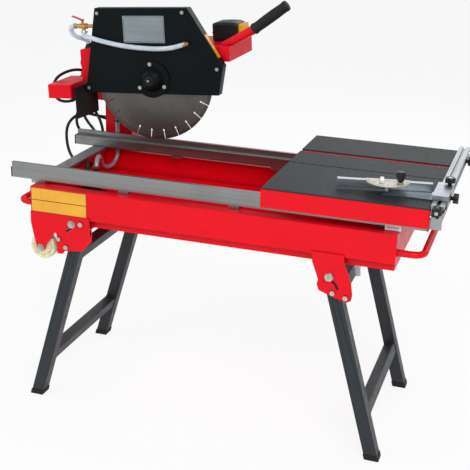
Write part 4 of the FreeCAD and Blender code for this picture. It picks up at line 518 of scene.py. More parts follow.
def turned(shape, profile, matrix, segments=40, ripple=None):
    """Adds a closed turned solid: (along, radius) pairs about the matrix's own Z axis."""
    rings = []
    for along, radius in profile:
        ring = []
        for k in range(segments):
            angle = 2 * math.pi * k / segments
            reach = radius if ripple is None else radius * ripple(along, angle)
            ring.append(shape.verts.new(matrix @ spoke(angle, reach, along)))
        rings.append(ring)
    skin(shape, rings)


def spoke(angle, reach=1.0, along=0.0):
    """The point at this angle and distance round the Z axis."""
    return Vector((reach * math.cos(angle), reach * math.sin(angle), along))


def facing(origin, direction):
    """A matrix at origin whose Z axis points along direction."""
    return Matrix.Translation(origin) @ Vector(direction).to_track_quat("Z", "Y").to_matrix().to_4x4()


def bead(shape, start, end, radius, pitch=0.004):
    """Adds a rippled weld bead along a straight seam."""
    start, end = Vector(start), Vector(end)
    length = (end - start).length
    steps = max(6, int(length / pitch * 4))
    profile = []
    for k in range(steps + 1):
        along = length * k / steps
        taper = min(1.0, 6 * k / steps, 6 * (steps - k) / steps)
        wave = 0.82 + 0.18 * abs(math.sin(math.pi * along / pitch))
        profile.append((along, max(0.0003, radius * wave * (0.35 + 0.65 * taper))))
    turned(shape, profile, facing(start, end - start), 10)


# ---------- hoses and cables
def cord(name, route, diameter, length, matrix, body, slot, material, stiffness="medium", lay="hanging"):
    """A free cord along a smooth line through the same route as its CAD tube, which it replaces."""
    points = [matrix @ Vector(point) for point in route]
    curve = bpy.data.curves.new(name, "CURVE")
    curve.dimensions = "3D"
    curve.bevel_depth = diameter / 2
    curve.bevel_resolution = 5
    curve.resolution_u = 10
    curve.use_fill_caps = True
    spline = curve.splines.new("NURBS")
    spline.points.add(len(points) - 1)
    for control, point in zip(spline.points, points):
        control.co = (*point, 1)
    spline.order_u = 3
    spline.use_endpoint_u = True
    piece = add_object(name + "_line", curve)
    curve.materials.append(material)
    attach(piece, body)
    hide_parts(name)


PUMP_LEAD = [
    (0.112, 0.020, 0.598), (0.112, 0.023, 0.610), (0.107, 0.042, 0.617),
    (0.098, 0.070, 0.606), (0.091, 0.100, 0.590), (0.073, 0.114, 0.584),
    (0.045, 0.117, 0.582), (0.021, 0.119, 0.592), (0.005, 0.120, 0.614),
    (-0.002, 0.120, 0.644), (-0.002, 0.119, 0.678), (0.004, 0.124, 0.702),
    (0.013, 0.142, 0.716), (0.019, 0.172, 0.720), (0.027, 0.206, 0.714),
    (0.041, 0.236, 0.702), (0.072, 0.250, 0.694),
]
MAINS_LEAD = [
    (-0.010, 0.242, 0.752), (-0.011, 0.239, 0.739), (-0.013, 0.225, 0.722),
    (-0.015, 0.212, 0.702), (-0.014, 0.209, 0.676), (-0.004, 0.215, 0.653),
    (0.018, 0.227, 0.640), (0.044, 0.242, 0.636), (0.072, 0.254, 0.636),
]
SPARE_LEAD = [
    (0.004, 0.240, 0.752), (0.003, 0.236, 0.739), (0.002, 0.223, 0.724),
    (0.007, 0.215, 0.704), (0.022, 0.215, 0.683), (0.039, 0.215, 0.665),
    (0.052, 0.215, 0.648), (0.063, 0.215, 0.645), (0.070, 0.215, 0.655),
    (0.068, 0.215, 0.672), (0.062, 0.215, 0.692), (0.052, 0.216, 0.710),
    (0.038, 0.221, 0.726), (0.028, 0.234, 0.738), (0.025, 0.240, 0.752),
]
SUPPLY_HOSE = [
    (0.134, 0.032, 0.604), (0.134, 0.038, 0.622), (0.129, 0.062, 0.632),
    (0.117, 0.098, 0.616), (0.105, 0.132, 0.584), (0.108, 0.162, 0.568),
    (0.116, 0.190, 0.572), (0.120, 0.208, 0.594), (0.120, 0.211, 0.630),
    (0.119, 0.210, 0.672), (0.120, 0.211, 0.708), (0.121, 0.217, 0.731),
    (0.121, 0.230, 0.742),
]
GUARD_HOSE = [
    (-0.207, 0.150, 0.132), (-0.2065, 0.148, 0.123), (-0.201, 0.140, 0.118),
    (-0.190, 0.1325, 0.117), (-0.174, 0.1295, 0.114), (-0.152, 0.129, 0.108),
    (-0.122, 0.1295, 0.101), (-0.086, 0.130, 0.094), (-0.040, 0.130, 0.0885),
    (0.010, 0.130, 0.0855), (0.056, 0.129, 0.087), (0.086, 0.128, 0.0935),
    (0.108, 0.128, 0.100),
]
LOOP_HOSE = [
    (-0.229, 0.150, 0.145), (-0.240, 0.150, 0.1445), (-0.248, 0.1515, 0.138),
    (-0.250, 0.156, 0.128), (-0.2445, 0.163, 0.117), (-0.235, 0.172, 0.109),
    (-0.2245, 0.181, 0.1045), (-0.2175, 0.188, 0.0995), (-0.2151, 0.190, 0.0906),
    (-0.213, 0.190, 0.07825),
]
BEAM_LEAD = [
    (-0.234, 0.240, -0.002), (-0.250, 0.238, 0.000), (-0.264, 0.228, 0.006),
    (-0.278, 0.210, 0.010), (-0.292, 0.190, 0.008), (-0.304, 0.170, 0.002),
    (-0.3098, 0.151, -0.0061), (-0.3148, 0.138, -0.0231), (-0.3118, 0.132, -0.0461),
    (-0.2978, 0.126, -0.0631), (-0.2778, 0.123, -0.0681), (-0.2548, 0.121, -0.0661),
    (-0.2408, 0.120, -0.0601), (-0.2368, 0.120, -0.0501),
]


def make_cords():
    lead = ("cable_rubber", CABLE)
    clear = ("clear_hose", HOSE)
    # The supply hose's colour has the red tray's reflected light and shade painted into it.
    grey = ("clear_hose", HOSE_TINTED_BY_TRAY)
    cord("cable_pump", PUMP_LEAD, LEAD_D, 0.448, *ON_FRAME, *lead)
    cord("cable_main", MAINS_LEAD, LEAD_D, 0.198, *ON_FRAME, *lead)
    cord("cable_loop", SPARE_LEAD, LEAD_D, 0.264, *ON_FRAME, *lead, stiffness="limp")
    cord("hose_supply", SUPPLY_HOSE, SUPPLY_D, 0.375, *ON_FRAME, *grey, stiffness="limp")
    cord("hose_front", GUARD_HOSE, HOSE_D, 0.335, *ON_HEAD, *clear, stiffness="limp")
    cord("hose_loop", LOOP_HOSE, HOSE_D, 0.108, *ON_HEAD, *clear, stiffness="limp")
    cord("cable_wrap", BEAM_LEAD, LEAD_D, 0.263, *ON_HEAD, *lead, stiffness="limp")


make_cords()


def smooth_line(points, steps=12):
    """The cord's own curve, from its first point on, as many short steps."""
    spots = [Vector(point) for point in points]
    line = [spots[0]]
    start = spots[0]
    for k in range(1, len(spots) - 1):
        middle = spots[k]
        end = spots[-1] if k == len(spots) - 2 else (spots[k] + spots[k + 1]) / 2
        for step in range(1, steps + 1):
            t = step / steps
            line.append(start * (1 - t) ** 2 + middle * 2 * t * (1 - t) + end * t**2)
        start = end
    return line


def along_line(line, distance):
    """The place and the direction this far along a line of short steps."""
    for here, there in zip(line, line[1:]):
        step = (there - here).length
        if distance <= step:
            return here + (there - here) * (distance / step), (there - here).normalized()
        distance -= step
    return line[-1], (line[-1] - line[-2]).normalized()


def gland(name, points, cord_radius, matrix, body, length=0.022):
    """A tapered rubber strain relief on a hexagonal nut, which bends with the cord it holds."""
    shape = bmesh.new()
    line = smooth_line(points)
    wide = cord_radius * 1.9
    turned(shape, [(0, wide), (0.004, wide), (0.005, wide * 0.94)], facing(line[0], line[1] - line[0]), 6)
    profile = [(0.0045, cord_radius * 1.6)]
    grooves = 6
    for k in range(grooves):
        start = 0.005 + (length - 0.005) * k / grooves
        radius = cord_radius * (1.6 - 0.08 * k)
        profile += [(start, radius), (start + 0.0012, radius), (start + 0.0016, radius * 0.88)]
    profile.append((length, cord_radius * 1.12))
    rings = []
    for distance, radius in profile:
        place, way = along_line(line, distance)
        ring_at = facing(place, way)
        angles = [2 * math.pi * k / 20 for k in range(20)]
        rings.append([shape.verts.new(ring_at @ spoke(angle, radius)) for angle in angles])
    skin(shape, rings)
    settle(from_bmesh(name, shape), matrix, body, "black_plastic")


def band(name, place, direction, radius, matrix, body, slot, width=0.006):
    """A clamp or tie round a hose, with the screw or lock that closes it."""
    shape = bmesh.new()
    frame_at = facing(place, direction)
    thick = 0.0009
    profile = [(-width / 2, radius + 0.0001), (-width / 2, radius + thick), (width / 2, radius + thick)]
    turned(shape, profile + [(width / 2, radius + 0.0001)], frame_at, 28)
    lock = bmesh.new()
    corner = Vector((radius - 0.0005, -0.003, -width * 0.45))
    block(lock, corner, (radius + 0.0045, 0.003, width * 0.45), 0.0006)
    absorb(shape, lock, frame_at)
    settle(from_bmesh(name, shape), matrix, body, slot)


def make_cord_fittings():
    gland("gland_pump_lead", PUMP_LEAD, LEAD_R, *ON_FRAME)
    gland("gland_wall", [(0.069, 0.1146, 0.5837), *PUMP_LEAD[6:9]], LEAD_R, *ON_FRAME, 0.020)
    gland("gland_mains_top", MAINS_LEAD, LEAD_R, *ON_FRAME, 0.026)
    gland("gland_loop_left", SPARE_LEAD, LEAD_R, *ON_FRAME)
    gland("gland_loop_right", SPARE_LEAD[::-1], LEAD_R, *ON_FRAME)
    gland("gland_column_low", MAINS_LEAD[::-1], LEAD_R, *ON_FRAME, 0.026)
    gland("gland_column_mid", PUMP_LEAD[::-1], LEAD_R, *ON_FRAME, 0.026)
    gland("gland_column_hose", SUPPLY_HOSE[::-1], SUPPLY_R, *ON_FRAME, 0.012)
    gland("gland_hood_lead", BEAM_LEAD, LEAD_R, *ON_HEAD, 0.024)
    gland("gland_beam_lead", BEAM_LEAD[::-1], LEAD_R, *ON_HEAD, 0.020)
    gland("gland_hood_hose", LOOP_HOSE[::-1], HOSE_R, *ON_HEAD, 0.012)
    on_supply, on_hose = SUPPLY_R + 0.0001, HOSE_R + 0.0001
    band("clamp_pump_outlet", (0.134, 0.032, 0.607), (0, 0.1, 1), on_supply, *ON_FRAME, "zinc_steel")
    band("clamp_valve_rear", (-0.2325, 0.150, 0.1449), (-1, 0, -0.05), on_hose, *ON_HEAD, "zinc_steel")
    band("clamp_valve_low", (-0.2069, 0.1493, 0.1288), (0, -0.2, -1), on_hose, *ON_HEAD, "zinc_steel")
    band("clamp_elbow", (0.1045, 0.128, 0.0990), (1, 0, 0.29), on_hose, *ON_HEAD, "zinc_steel")
    for name, y, z in (("tie_supply_low", 0.2104, 0.650), ("tie_supply_high", 0.2106, 0.700)):
        band(name, (0.1196, y, z), (0, 0, 1), on_supply, *ON_FRAME, "black_plastic", 0.004)


make_cord_fittings()


# ---------- head
def make_grip():
    """Rubber grip: fluted along its length, with a collar at the hand end and a rounded tip."""
    rise, tube_rise, tube_length = math.radians(34), math.radians(27.5), 0.098
    tube_end = (0.193 + tube_length * math.cos(tube_rise), 0.205, 0.084 + tube_length * math.sin(tube_rise))
    shape = bmesh.new()
    start, length = 0.002, 0.119
    profile = [(start, 0.0127), (start, 0.0150), (start + 0.002, 0.0155), (start + 0.008, 0.0155)]
    profile += [(start + 0.010, 0.0145), (start + 0.014, 0.0142)]
    for k in range(1, 13):
        along = start + 0.014 + (length - 0.030) * k / 13
        profile.append((along, 0.0142 + 0.0010 * math.sin(math.pi * k / 13)))
    tip = [(0.014, 0.0144), (0.010, 0.0153), (0.005, 0.0151), (0.002, 0.0138), (0.0005, 0.0102), (0, 0.004)]
    profile += [(start + length - back, radius) for back, radius in tip]

    def fluted(along, angle):
        inside = start + 0.016 < along < start + length - 0.016
        return 1 - (0.045 * max(0.0, math.cos(18 * angle)) if inside else 0)

    turned(shape, profile, facing(tube_end, (math.cos(rise), 0, math.sin(rise))), 144, fluted)
    grip = settle(from_bmesh("grip", shape), *ON_HEAD, "black_rubber")
    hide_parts("hand_grip")


def make_flap():
    """Rubber flap: a thin sheet bowed a little by its own stiffness, held by a clamping strip."""
    low, high = Vector((-0.2209, 0.088, -0.110)), Vector((-0.2069, 0.208, -0.020))
    lean = 0.010
    shape = bmesh.new()
    across, down = 16, 12
    layers = []
    for side in (0, 1):
        grid = []
        for j in range(down + 1):
            fall = j / down
            row = []
            for k in range(across + 1):
                share = k / across
                bow = 0.0022 * fall**2 * math.cos(math.pi * (share - 0.5)) - 0.0008 * fall
                x = low.x + lean * share + 0.0009 + 0.0020 * side + bow
                y, z = low.y + (high.y - low.y) * share, high.z - (high.z - low.z) * fall
                row.append(shape.verts.new((x, y, z)))
            grid.append(row)
        layers.append(grid)
    for side, grid in enumerate(layers):
        for j in range(down):
            for k in range(across):
                quad = (grid[j][k], grid[j][k + 1], grid[j + 1][k + 1], grid[j + 1][k])
                shape.faces.new(quad if side else tuple(reversed(quad)))
    rim = [(0, k) for k in range(across)] + [(j, across) for j in range(down)]
    rim += [(down, k) for k in range(across, 0, -1)] + [(j, 0) for j in range(down, 0, -1)]
    for (j, k), (jj, kk) in zip(rim, rim[1:] + rim[:1]):
        shape.faces.new((layers[0][j][k], layers[0][jj][kk], layers[1][jj][kk], layers[1][j][k]))
    flap = settle(from_bmesh("flap", shape), *ON_HEAD, "black_rubber")
    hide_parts("splash_flap")
    strip = bmesh.new()
    block(strip, (-0.0004, 0.004, -0.034), (0.0008, 0.116, -0.022), 0.0004)
    for k in range(3):
        screw_at = facing((-0.0004, 0.018 + 0.042 * k, -0.028), (-1, 0, 0))
        turned(strip, [(0, 0.0032), (0.0008, 0.0032), (0.0016, 0.0018)], screw_at, 6)
    turn = Matrix.Rotation(-math.atan2(lean, high.y - low.y), 4, "Z")
    strip.transform(Matrix.Translation((low.x, low.y, 0)) @ turn)
    settle(from_bmesh("flap_strip", strip), *ON_HEAD, "black_paint")


def make_guard_trim():
    """Sockets in the screw heads, the bare name plate's border, and the hood's rear cap."""
    sockets = bmesh.new()
    guard_face = 0.138
    head = [(0.0030, 0.0051), (0.0040, 0.0046), (0.0043, 0.0030), (0.0036, 0.0026), (0.0034, 0.001)]
    for across, up in ((-0.155, 0.182), (0.100, 0.184), (0.194, 0.031), (-0.199, -0.028)):
        turned(sockets, head, facing((across, guard_face, up), (0, -1, 0)), 32)
    settle(from_bmesh("guard_sockets", sockets), *ON_HEAD, "zinc_steel")
    dot = bmesh.new()
    turned(dot, [(-0.001, 0.0030), (0.0004, 0.0028), (0.0009, 0.0014)], facing((0, 0.106, 0), (0, -1, 0)), 24)
    settle(from_bmesh("shaft_centre", dot), HEAD, "spindle", "zinc_steel")
    border = bmesh.new()
    left, right, low, high, y = -0.0765, 0.0425, 0.1035, 0.1725, 0.1369
    for start, end in (
        ((left, y, low), (right, y + 0.0003, low + 0.0006)),
        ((left, y, high - 0.0006), (right, y + 0.0003, high)),
        ((left, y, low), (left + 0.0006, y + 0.0003, high)),
        ((right - 0.0006, y, low), (right, y + 0.0003, high)),
    ):
        block(border, start, end)
    settle(from_bmesh("name_plate_border", border, False), *ON_HEAD, "black_plastic", INK)
    cap = bmesh.new()
    profile = [(0, 0.0165), (0.002, 0.0165), (0.0025, 0.0155), (0.005, 0.0150)]
    profile += [(0.0065, 0.0130), (0.007, 0.008)]
    turned(cap, profile, facing((-0.234, 0.190, 0.035), (-1, 0, 0)), 36)
    settle(from_bmesh("hood_rear_cap", cap), *ON_HEAD, "black_plastic")


def make_switch_details():
    """Lid seam and corner screws of the switch box, and the raised rings round the buttons."""
    seam = bmesh.new()
    low, high = (0.1366, 0.2646, 0.112), (0.2154, 0.3374, 0.1132)
    block(seam, low, high, 0.0005)
    settle(from_bmesh("switch_box_seam", seam), *ON_HEAD, "black_plastic", INK)
    screws = bmesh.new()
    lid = 0.1405
    screw = [(0, 0.003), (0.0008, 0.0028), (0.0012, 0.0012)]
    for x in (0.151, 0.201):
        for y in (0.277, 0.325):
            turned(screws, screw, facing((x, y, lid), (0, 0, 1)), 16)
    settle(from_bmesh("switch_box_screws", screws), *ON_HEAD, "zinc_steel")
    rings = bmesh.new()
    plate_face, first_button, button_pitch, steps = 0.227, 0.289, 0.024, 28
    for number in (0, 1):
        place = facing((plate_face, first_button + button_pitch * number, 0.115), (1, 0, 0))
        for k in range(steps):
            a, b = 2 * math.pi * k / steps, 2 * math.pi * (k + 1) / steps
            corners = []
            for radius, along in ((0.0088, 0.0), (0.0088, 0.0036), (0.0106, 0.0036), (0.0112, 0.0)):
                for angle in (a, b):
                    corners.append(rings.verts.new(place @ spoke(angle, radius, along)))
            for first in range(0, 6, 2):
                rings.faces.new((corners[first], corners[first + 1], corners[first + 3], corners[first + 2]))
            rings.faces.new((corners[6], corners[7], corners[1], corners[0]))
    bmesh.ops.remove_doubles(rings, verts=rings.verts, dist=0.00001)
    settle(from_bmesh("button_rings", rings), *ON_HEAD, "yellow_plastic")


def make_motor_details():
    """Fan grille at the motor's rear end, and its cover's screws."""
    rear = 0.353
    wire = 0.0012
    grille = bmesh.new()
    for radius in (0.024, 0.034, 0.044, 0.054):
        turns = [2 * math.pi * k / 8 for k in range(8)]
        ring = [(radius + wire * math.cos(turn), wire * math.sin(turn)) for turn in turns]
        rows = []
        for step in range(48):
            angle = 2 * math.pi * step / 48
            rows.append(
                [
                    grille.verts.new((reach * math.cos(angle), rear + 0.0006 + lift, reach * math.sin(angle)))
                    for reach, lift in ring
                ]
            )
        for step in range(48):
            here, there = rows[step], rows[(step + 1) % 48]
            for k in range(8):
                grille.faces.new((here[k], here[(k + 1) % 8], there[(k + 1) % 8], there[k]))
    for spoke in range(6):
        angle = math.pi * spoke / 3
        way = Vector((math.cos(angle), 0, math.sin(angle)))
        foot = way * 0.018 + Vector((0, rear + 0.0006, 0))
        turned(grille, [(0, 0.0014), (0.042, 0.0014)], facing(foot, way), 8)
    settle(from_bmesh("fan_grille", grille), *ON_HEAD, "black_plastic")
    screws = bmesh.new()
    for k in range(4):
        angle = math.pi * (0.25 + 0.5 * k)
        way = Vector((math.cos(angle), 0, math.sin(angle)))
        spot = way * 0.071 + Vector((0, 0.337, 0))
        turned(screws, [(-0.001, 0.004), (0.001, 0.004), (0.002, 0.002)], facing(spot, way), 6)
    settle(from_bmesh("fan_cover_screws", screws), *ON_HEAD, "zinc_steel")


def make_head_welds():
    """Weld beads between the hood's rear wall and the beam."""
    seams = bmesh.new()
    bead(seams, (-0.2345, 0.172, -0.0105), (-0.2345, 0.226, -0.0105), 0.0012)
    bead(seams, (-0.2345, 0.290, -0.0105), (-0.2345, 0.370, -0.0105), 0.0012)
    settle(from_bmesh("head_welds", seams), *ON_HEAD, "red_paint")


make_grip()
make_flap()
make_guard_trim()
make_switch_details()
make_motor_details()
make_head_welds()


# ---------- frame
def make_frame_welds():
    """Weld beads where the lifting handles meet the end panels and the arm meets the column."""
    seams = bmesh.new()
    for side in (-1, 1):
        for edge, way in ((0.069, -1), (1.036, 1)):
            for k in range(10):
                centre = Vector((edge + way * 0.0006, side * 0.205, 0.566))
                ends = []
                for angle in (2 * math.pi * k / 10, 2 * math.pi * (k + 1.2) / 10):
                    ends.append(centre + Vector((0, 0.0090 * math.cos(angle), 0.0090 * math.sin(angle))))
                bead(seams, *ends, 0.0013)
    for y in (0.2325, 0.2835):
        bead(seams, (0.0715, y, 0.756), (0.0715, y, 0.786), 0.0016)
    settle(from_bmesh("frame_welds", seams), *ON_FRAME, "red_paint")


def make_labels():
    """A thin dark frame round each bare yellow label, and one faint line that parts its two fields."""
    lines = bmesh.new()
    y = -0.2268
    line = 0.0005
    for number in (0, 1):
        high = 0.614 - number * 0.0328
        low = high - 0.032
        left, right = 0.072, 0.230
        rows = [(left, low, right, low + line), (left, high - line, right, high)]
        rows += [(left, low, left + line, high), (right - line, low, right, high)]
        rows.append((left + 0.030, low + 0.002, left + 0.030 + line / 2, high - 0.002))
        for x0, z0, x1, z1 in rows:
            block(lines, (x0, y - 0.00012, z0), (x1, y + 0.00025, z1))
    settle(from_bmesh("label_lines", lines, False), *ON_FRAME, "black_plastic", INK)


def make_bolt_details():
    """Washers under the larger bolts, a dark block as painted shade in the left slot, and a white cap as a painted
    highlight on the right cross bar, with a dark strip as its slot's painted shade.
    """
    washers = bmesh.new()
    for side in (-1, 1):
        pivot = LEG_PIVOTS["legs_right"]
        for x, z, radius in ((pivot.x, pivot.z, 0.0108), (WHEEL.x, WHEEL.z, 0.0100), (0.188, 0.527, 0.0104)):
            spot = facing((x, side * 0.230, z), (0, side, 0))
            turned(washers, [(0, radius), (0.0014, radius), (0.0018, radius - 0.0006)], spot, 36)
            turned(washers, [(0.0048, 0.0058), (0.0066, 0.0054), (0.0072, 0.0036)], spot, 24)
    settle(from_bmesh("bolt_washers", washers), *ON_FRAME, "zinc_steel")
    # Painted shade: a dark block in each left slot stands for the shade inside it.
    slot_shade = bmesh.new()
    for side in (-1, 1):
        slot = bmesh.new()
        block(slot, (-0.0097, -0.0018, -0.0032), (0.0097, 0.0018, 0.0032), 0.0004)
        turn = Matrix.Rotation(math.radians(-33), 4, "Y")
        absorb(slot_shade, slot, Matrix.Translation((0.1808, side * 0.2274, 0.5110)) @ turn)
    settle(from_bmesh("slot_shade_blocks", slot_shade), *ON_FRAME, "black_paint", SHAFT_BLACK)
    # Painted highlight: the white cap makes the cross bar's end look brightly lit, and the dark strip on it is the
    # painted shade of the bar's slot.
    cap = bmesh.new()
    block(cap, (1.0004, -0.2000, 0.6174), (1.0396, -0.1972, 0.6330), 0.0008)
    settle(from_bmesh("bar_end_highlight_cap", cap), *ON_FRAME, "nylon", WHITE_PLASTIC)
    line = bmesh.new()
    block(line, (1.0060, -0.2003, 0.6246), (1.0340, -0.1998, 0.6262), 0.0002)
    settle(from_bmesh("bar_end_slot_shade", line), *ON_FRAME, "black_plastic", INK)
    buffer = bmesh.new()
    block(buffer, (0.979, -0.1985, 0.6172), (0.9995, -0.1760, 0.6258), 0.0012)
    settle(from_bmesh("rail_buffer", buffer), *ON_FRAME, "black_rubber")


def make_leg_spring():
    """Tension spring between the right legs' upper cross bar and the tray, with its hook bolt."""
    x, y, hook_low, hook_high = 0.890, -0.120, 0.454, 0.518
    coil = bpy.data.curves.new("leg_spring", "CURVE")
    coil.dimensions = "3D"
    coil.bevel_depth = 0.0008
    coil.bevel_resolution = 2
    turns, radius, low, high = 14, 0.0048, 0.462, 0.512
    steps = turns * 10
    spline = coil.splines.new("POLY")
    spline.points.add(steps + 2)
    spots = [Vector((x, y, hook_low))]
    for k in range(steps + 1):
        angle = 2 * math.pi * k / 10
        rise = low + (high - low) * k / steps
        spots.append(Vector((x + radius * math.cos(angle), y + radius * math.sin(angle), rise)))
    spots.append(Vector((x, y, hook_high)))
    for control, spot in zip(spline.points, spots):
        control.co = (*spot, 1)
    settle(add_object("leg_spring", coil), MACHINE, "legs_right", "zinc_steel")
    bolt = bmesh.new()
    turned(bolt, [(0, 0.0060), (0.004, 0.0058), (0.0046, 0.004)], facing((x, y, 0.4515), (0, 0, 1)), 6)
    settle(from_bmesh("spring_bolt", bolt), MACHINE, "legs_right", "zinc_steel")


def make_pump_details():
    """Ribs and strainer slots round the pump's case."""
    ribs = bmesh.new()
    for k in range(18):
        angle = 2 * math.pi * k / 18
        way = spoke(angle)
        foot = Vector((PUMP_X, PUMP_Y, 0.540)) + way * 0.0252
        turned(ribs, [(0, 0.0014), (0.044, 0.0014), (0.046, 0.0008)], facing(foot, (0, 0, 1)), 8)
    for level in (0.5375, 0.5865):
        profile = [(0, 0.0262), (0.0005, 0.0268), (0.0025, 0.0268), (0.003, 0.0262)]
        turned(ribs, profile, facing((PUMP_X, PUMP_Y, level), (0, 0, 1)), 48)
    settle(from_bmesh("pump_ribs", ribs), *ON_FRAME, "black_plastic")


def make_wheel_details():
    """Moulded ribs and a hub cap on each transport wheel."""
    for name, side in (("wheel_near", -1), ("wheel_far", 1)):
        shape = bmesh.new()
        hub = Vector((WHEEL.x, side * 0.2190, WHEEL.z))
        for k in range(8):
            angle = 2 * math.pi * k / 8
            way = Vector((math.cos(angle), 0, math.sin(angle)))
            across = Vector((-math.sin(angle), 0, math.cos(angle)))
            for sign in (-1, 1):
                foot = hub + way * 0.0215 + across * 0.0012 * sign + Vector((0, -side * 0.0012, 0))
                turned(shape, [(0, 0.0013), (0.0115, 0.0013)], facing(foot, way), 8)
        hub_cap = [(-0.0005, 0.0125), (0.0018, 0.0120), (0.0026, 0.0085)]
        turned(shape, hub_cap, facing(hub, (0, side, 0)), 32)
        settle(from_bmesh(name + "_ribs", shape), MACHINE, name, "cream_nylon")


def make_leg_welds():
    """Weld beads round the ends of the cross bars, down the splayed legs."""
    splay = math.radians(16)
    for body, way in (("legs_left", -1), ("legs_right", 1)):
        pivot = LEG_PIVOTS[body]
        seams = bmesh.new()
        for drop in (0.052, 0.380):
            centre = Vector((pivot.x + way * drop * math.sin(splay), 0, pivot.z - drop * math.cos(splay)))
            along = Vector((way * math.sin(splay), 0, -math.cos(splay)))
            across = Vector((along.z, 0, -along.x))
            for side in (-1, 1):
                wall = Vector((0, side * 0.1900, 0))
                signs = ((-1, -1), (1, -1), (1, 1), (-1, 1))
                corners = [centre + wall + (along * a + across * b) * 0.0155 for a, b in signs]
                for first, second in zip(corners, corners[1:] + corners[:1]):
                    bead(seams, first, second, 0.0018)
        settle(from_bmesh(body + "_welds", seams), MACHINE, body, "black_paint")


make_frame_welds()
make_labels()
make_bolt_details()
make_leg_spring()
make_pump_details()
make_wheel_details()
make_leg_welds()


# ---------- cart and gauge
def make_gauge_details():
    """Degree ticks and numbers on the dial, its white pointer cap, and the knob's nut."""
    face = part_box("gauge_fence")[1].z + 0.00205
    ticks = bmesh.new()
    for degree in range(0, 181, 5):
        angle = math.radians(180 + degree)
        long_tick = degree % 15 == 0
        inner = 0.0425 if long_tick else 0.0465
        way = spoke(angle)
        across = Vector((-way.y, way.x, 0)) * (0.00035 if long_tick else 0.00022)
        corners = [way * inner - across, way * 0.0515 - across, way * 0.0515 + across, way * inner + across]
        low = [ticks.verts.new(corner + Vector((0, 0, face - 0.0002))) for corner in corners]
        high = [ticks.verts.new(corner + Vector((0, 0, face + 0.0001))) for corner in corners]
        ticks.faces.new(list(reversed(low)))
        ticks.faces.new(high)
        for k in range(4):
            ticks.faces.new((low[k], low[(k + 1) % 4], high[(k + 1) % 4], high[k]))
    settle(from_bmesh("dial_ticks", ticks, False), GAUGE, "gauge_swivel", "black_plastic", INK)
    for degree in (30, 60, 90, 120, 150):
        angle = math.radians(180 + degree)
        words = bpy.data.curves.new(f"dial_number_{degree}", "FONT")
        words.body = str(abs(degree - 90))
        words.size = 0.0068
        words.extrude = 0.0001
        words.align_x = "CENTER"
        words.align_y = "CENTER"
        spot = Matrix.Translation(spoke(angle, 0.0375, face))
        place = GAUGE @ spot @ Matrix.Rotation(angle + math.pi / 2, 4, "Z")
        settle(add_object(words.name, words), place, "gauge_swivel", "black_plastic", INK)
    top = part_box("protractor")[1].z
    cap = bmesh.new()
    block(cap, (-0.0189, -0.0274, face + 0.0001), (-0.0091, 0.0003, top + 0.0004), 0.0012)
    settle(from_bmesh("pointer_cap", cap), GAUGE, "gauge_swivel", "nylon", WHITE_PLASTIC)
    nut = bmesh.new()
    knob = joint_place("gauge_knob_turn", GAUGE)
    profile = [(0.0002, 0.0075), (0.0046, 0.0075), (0.0052, 0.0066)]
    turned(nut, profile, facing((knob.x, knob.y, face), (0, 0, 1)), 6)
    settle(from_bmesh("knob_nut", nut), GAUGE, "gauge_knob", "zinc_steel")


def make_knob_details():
    """Steel inserts in the ends of the star knobs."""
    out, up = (1, 0, 0), (0, 0, 1)
    insert = [(-0.001, 0.0045), (0.0006, 0.0045), (0.0010, 0.0030)]
    knobs = (
        ("fence_knobs", "cart", (((1.121, -0.240, 0.6865), (0, -1, 0)), ((1.154, 0.241, 0.6865), out))),
        ("slider_knobs", "gauge_slide", (((1.1574, -0.123, 0.691), out), ((1.130, -0.084, 0.7302), up))),
    )
    for name, body, places in knobs:
        shape = bmesh.new()
        for place, direction in places:
            turned(shape, insert, facing(place, direction), 24)
        settle(from_bmesh(name + "_inserts", shape), MACHINE, body, "zinc_steel")


make_gauge_details()
make_knob_details()


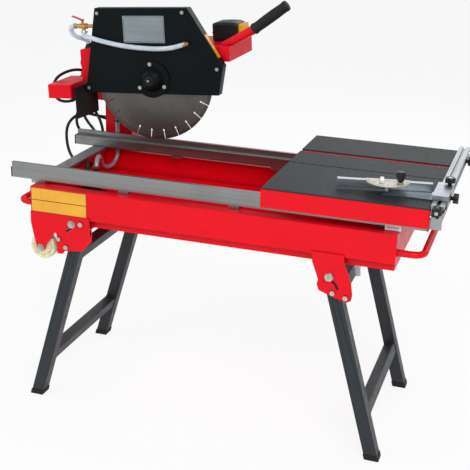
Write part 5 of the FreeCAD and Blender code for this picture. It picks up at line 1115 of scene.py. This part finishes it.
# ---------- stage and light
def make_stage():
    """Pale floor: the camera sees it mostly as plain white, and the rest as lit, with the shadow on it."""
    floor = bpy.data.meshes.new("floor")
    half = 14
    corners = [(-half, -half, 0), (half, -half, 0), (half, half, 0), (-half, half, 0)]
    floor.from_pydata(corners, [], [(0, 1, 2, 3)])
    plane = add_object("floor", floor)
    look = Look("floor", srgb(250, 250, 250), 0.9)
    look.vary(0.8, 0.01)
    glow = look.add("ShaderNodeEmission")
    glow.inputs["Color"].default_value = (1, 1, 1, 1)
    path = look.add("ShaderNodeLightPath")
    white_share = 0.84
    share = look.maths("MULTIPLY", path.outputs["Is Camera Ray"], white_share)
    mix = look.add("ShaderNodeMixShader")
    look.feed(share, mix.inputs["Fac"])
    look.feed(look.shader.outputs["BSDF"], mix.inputs[1])
    look.feed(glow.outputs["Emission"], mix.inputs[2])
    look.feed(mix.outputs["Shader"], look.tree.nodes["Material Output"].inputs["Surface"])
    floor.materials.append(look.material)


def area_light(name, place, target, size, watts):
    data = bpy.data.lights.new(name, "AREA")
    data.shape = "SQUARE"
    data.size = size
    data.energy = watts
    add_object(name, data).matrix_world = facing(place, Vector(place) - Vector(target))


def make_light():
    world = bpy.data.worlds.new("world")
    bpy.context.scene.world = world
    world.use_nodes = True
    nodes, links = world.node_tree.nodes, world.node_tree.links
    nodes.clear()
    path = nodes.new("ShaderNodeLightPath")
    seen = nodes.new("ShaderNodeMath")
    seen.operation = "MAXIMUM"
    links.new(path.outputs["Is Camera Ray"], seen.inputs[0])
    links.new(path.outputs["Is Transmission Ray"], seen.inputs[1])
    dim, white = (nodes.new("ShaderNodeBackground") for _ in range(2))
    mix = nodes.new("ShaderNodeMixShader")
    dim.inputs["Color"].default_value = (0.93, 0.96, 1, 1)
    dim.inputs["Strength"].default_value = 0.6
    white.inputs["Color"].default_value = (1, 1, 1, 1)
    out = nodes.new("ShaderNodeOutputWorld")
    links.new(seen.outputs["Value"], mix.inputs["Fac"])
    links.new(dim.outputs["Background"], mix.inputs[1])
    links.new(white.outputs["Background"], mix.inputs[2])
    links.new(mix.outputs["Shader"], out.inputs["Surface"])
    area_light("key", (1.4, -2.8, 2.8), (0, 0, 0.5), 2.2, 72)
    area_light("fill", (-2.8, -1.6, 2.0), (0, 0, 0.5), 2.5, 22)
    area_light("back", (0.4, 3.0, 2.6), (0, 0, 0.6), 2.5, 30)


make_stage()
make_light()
bpy.context.scene.view_settings.view_transform = "Standard"
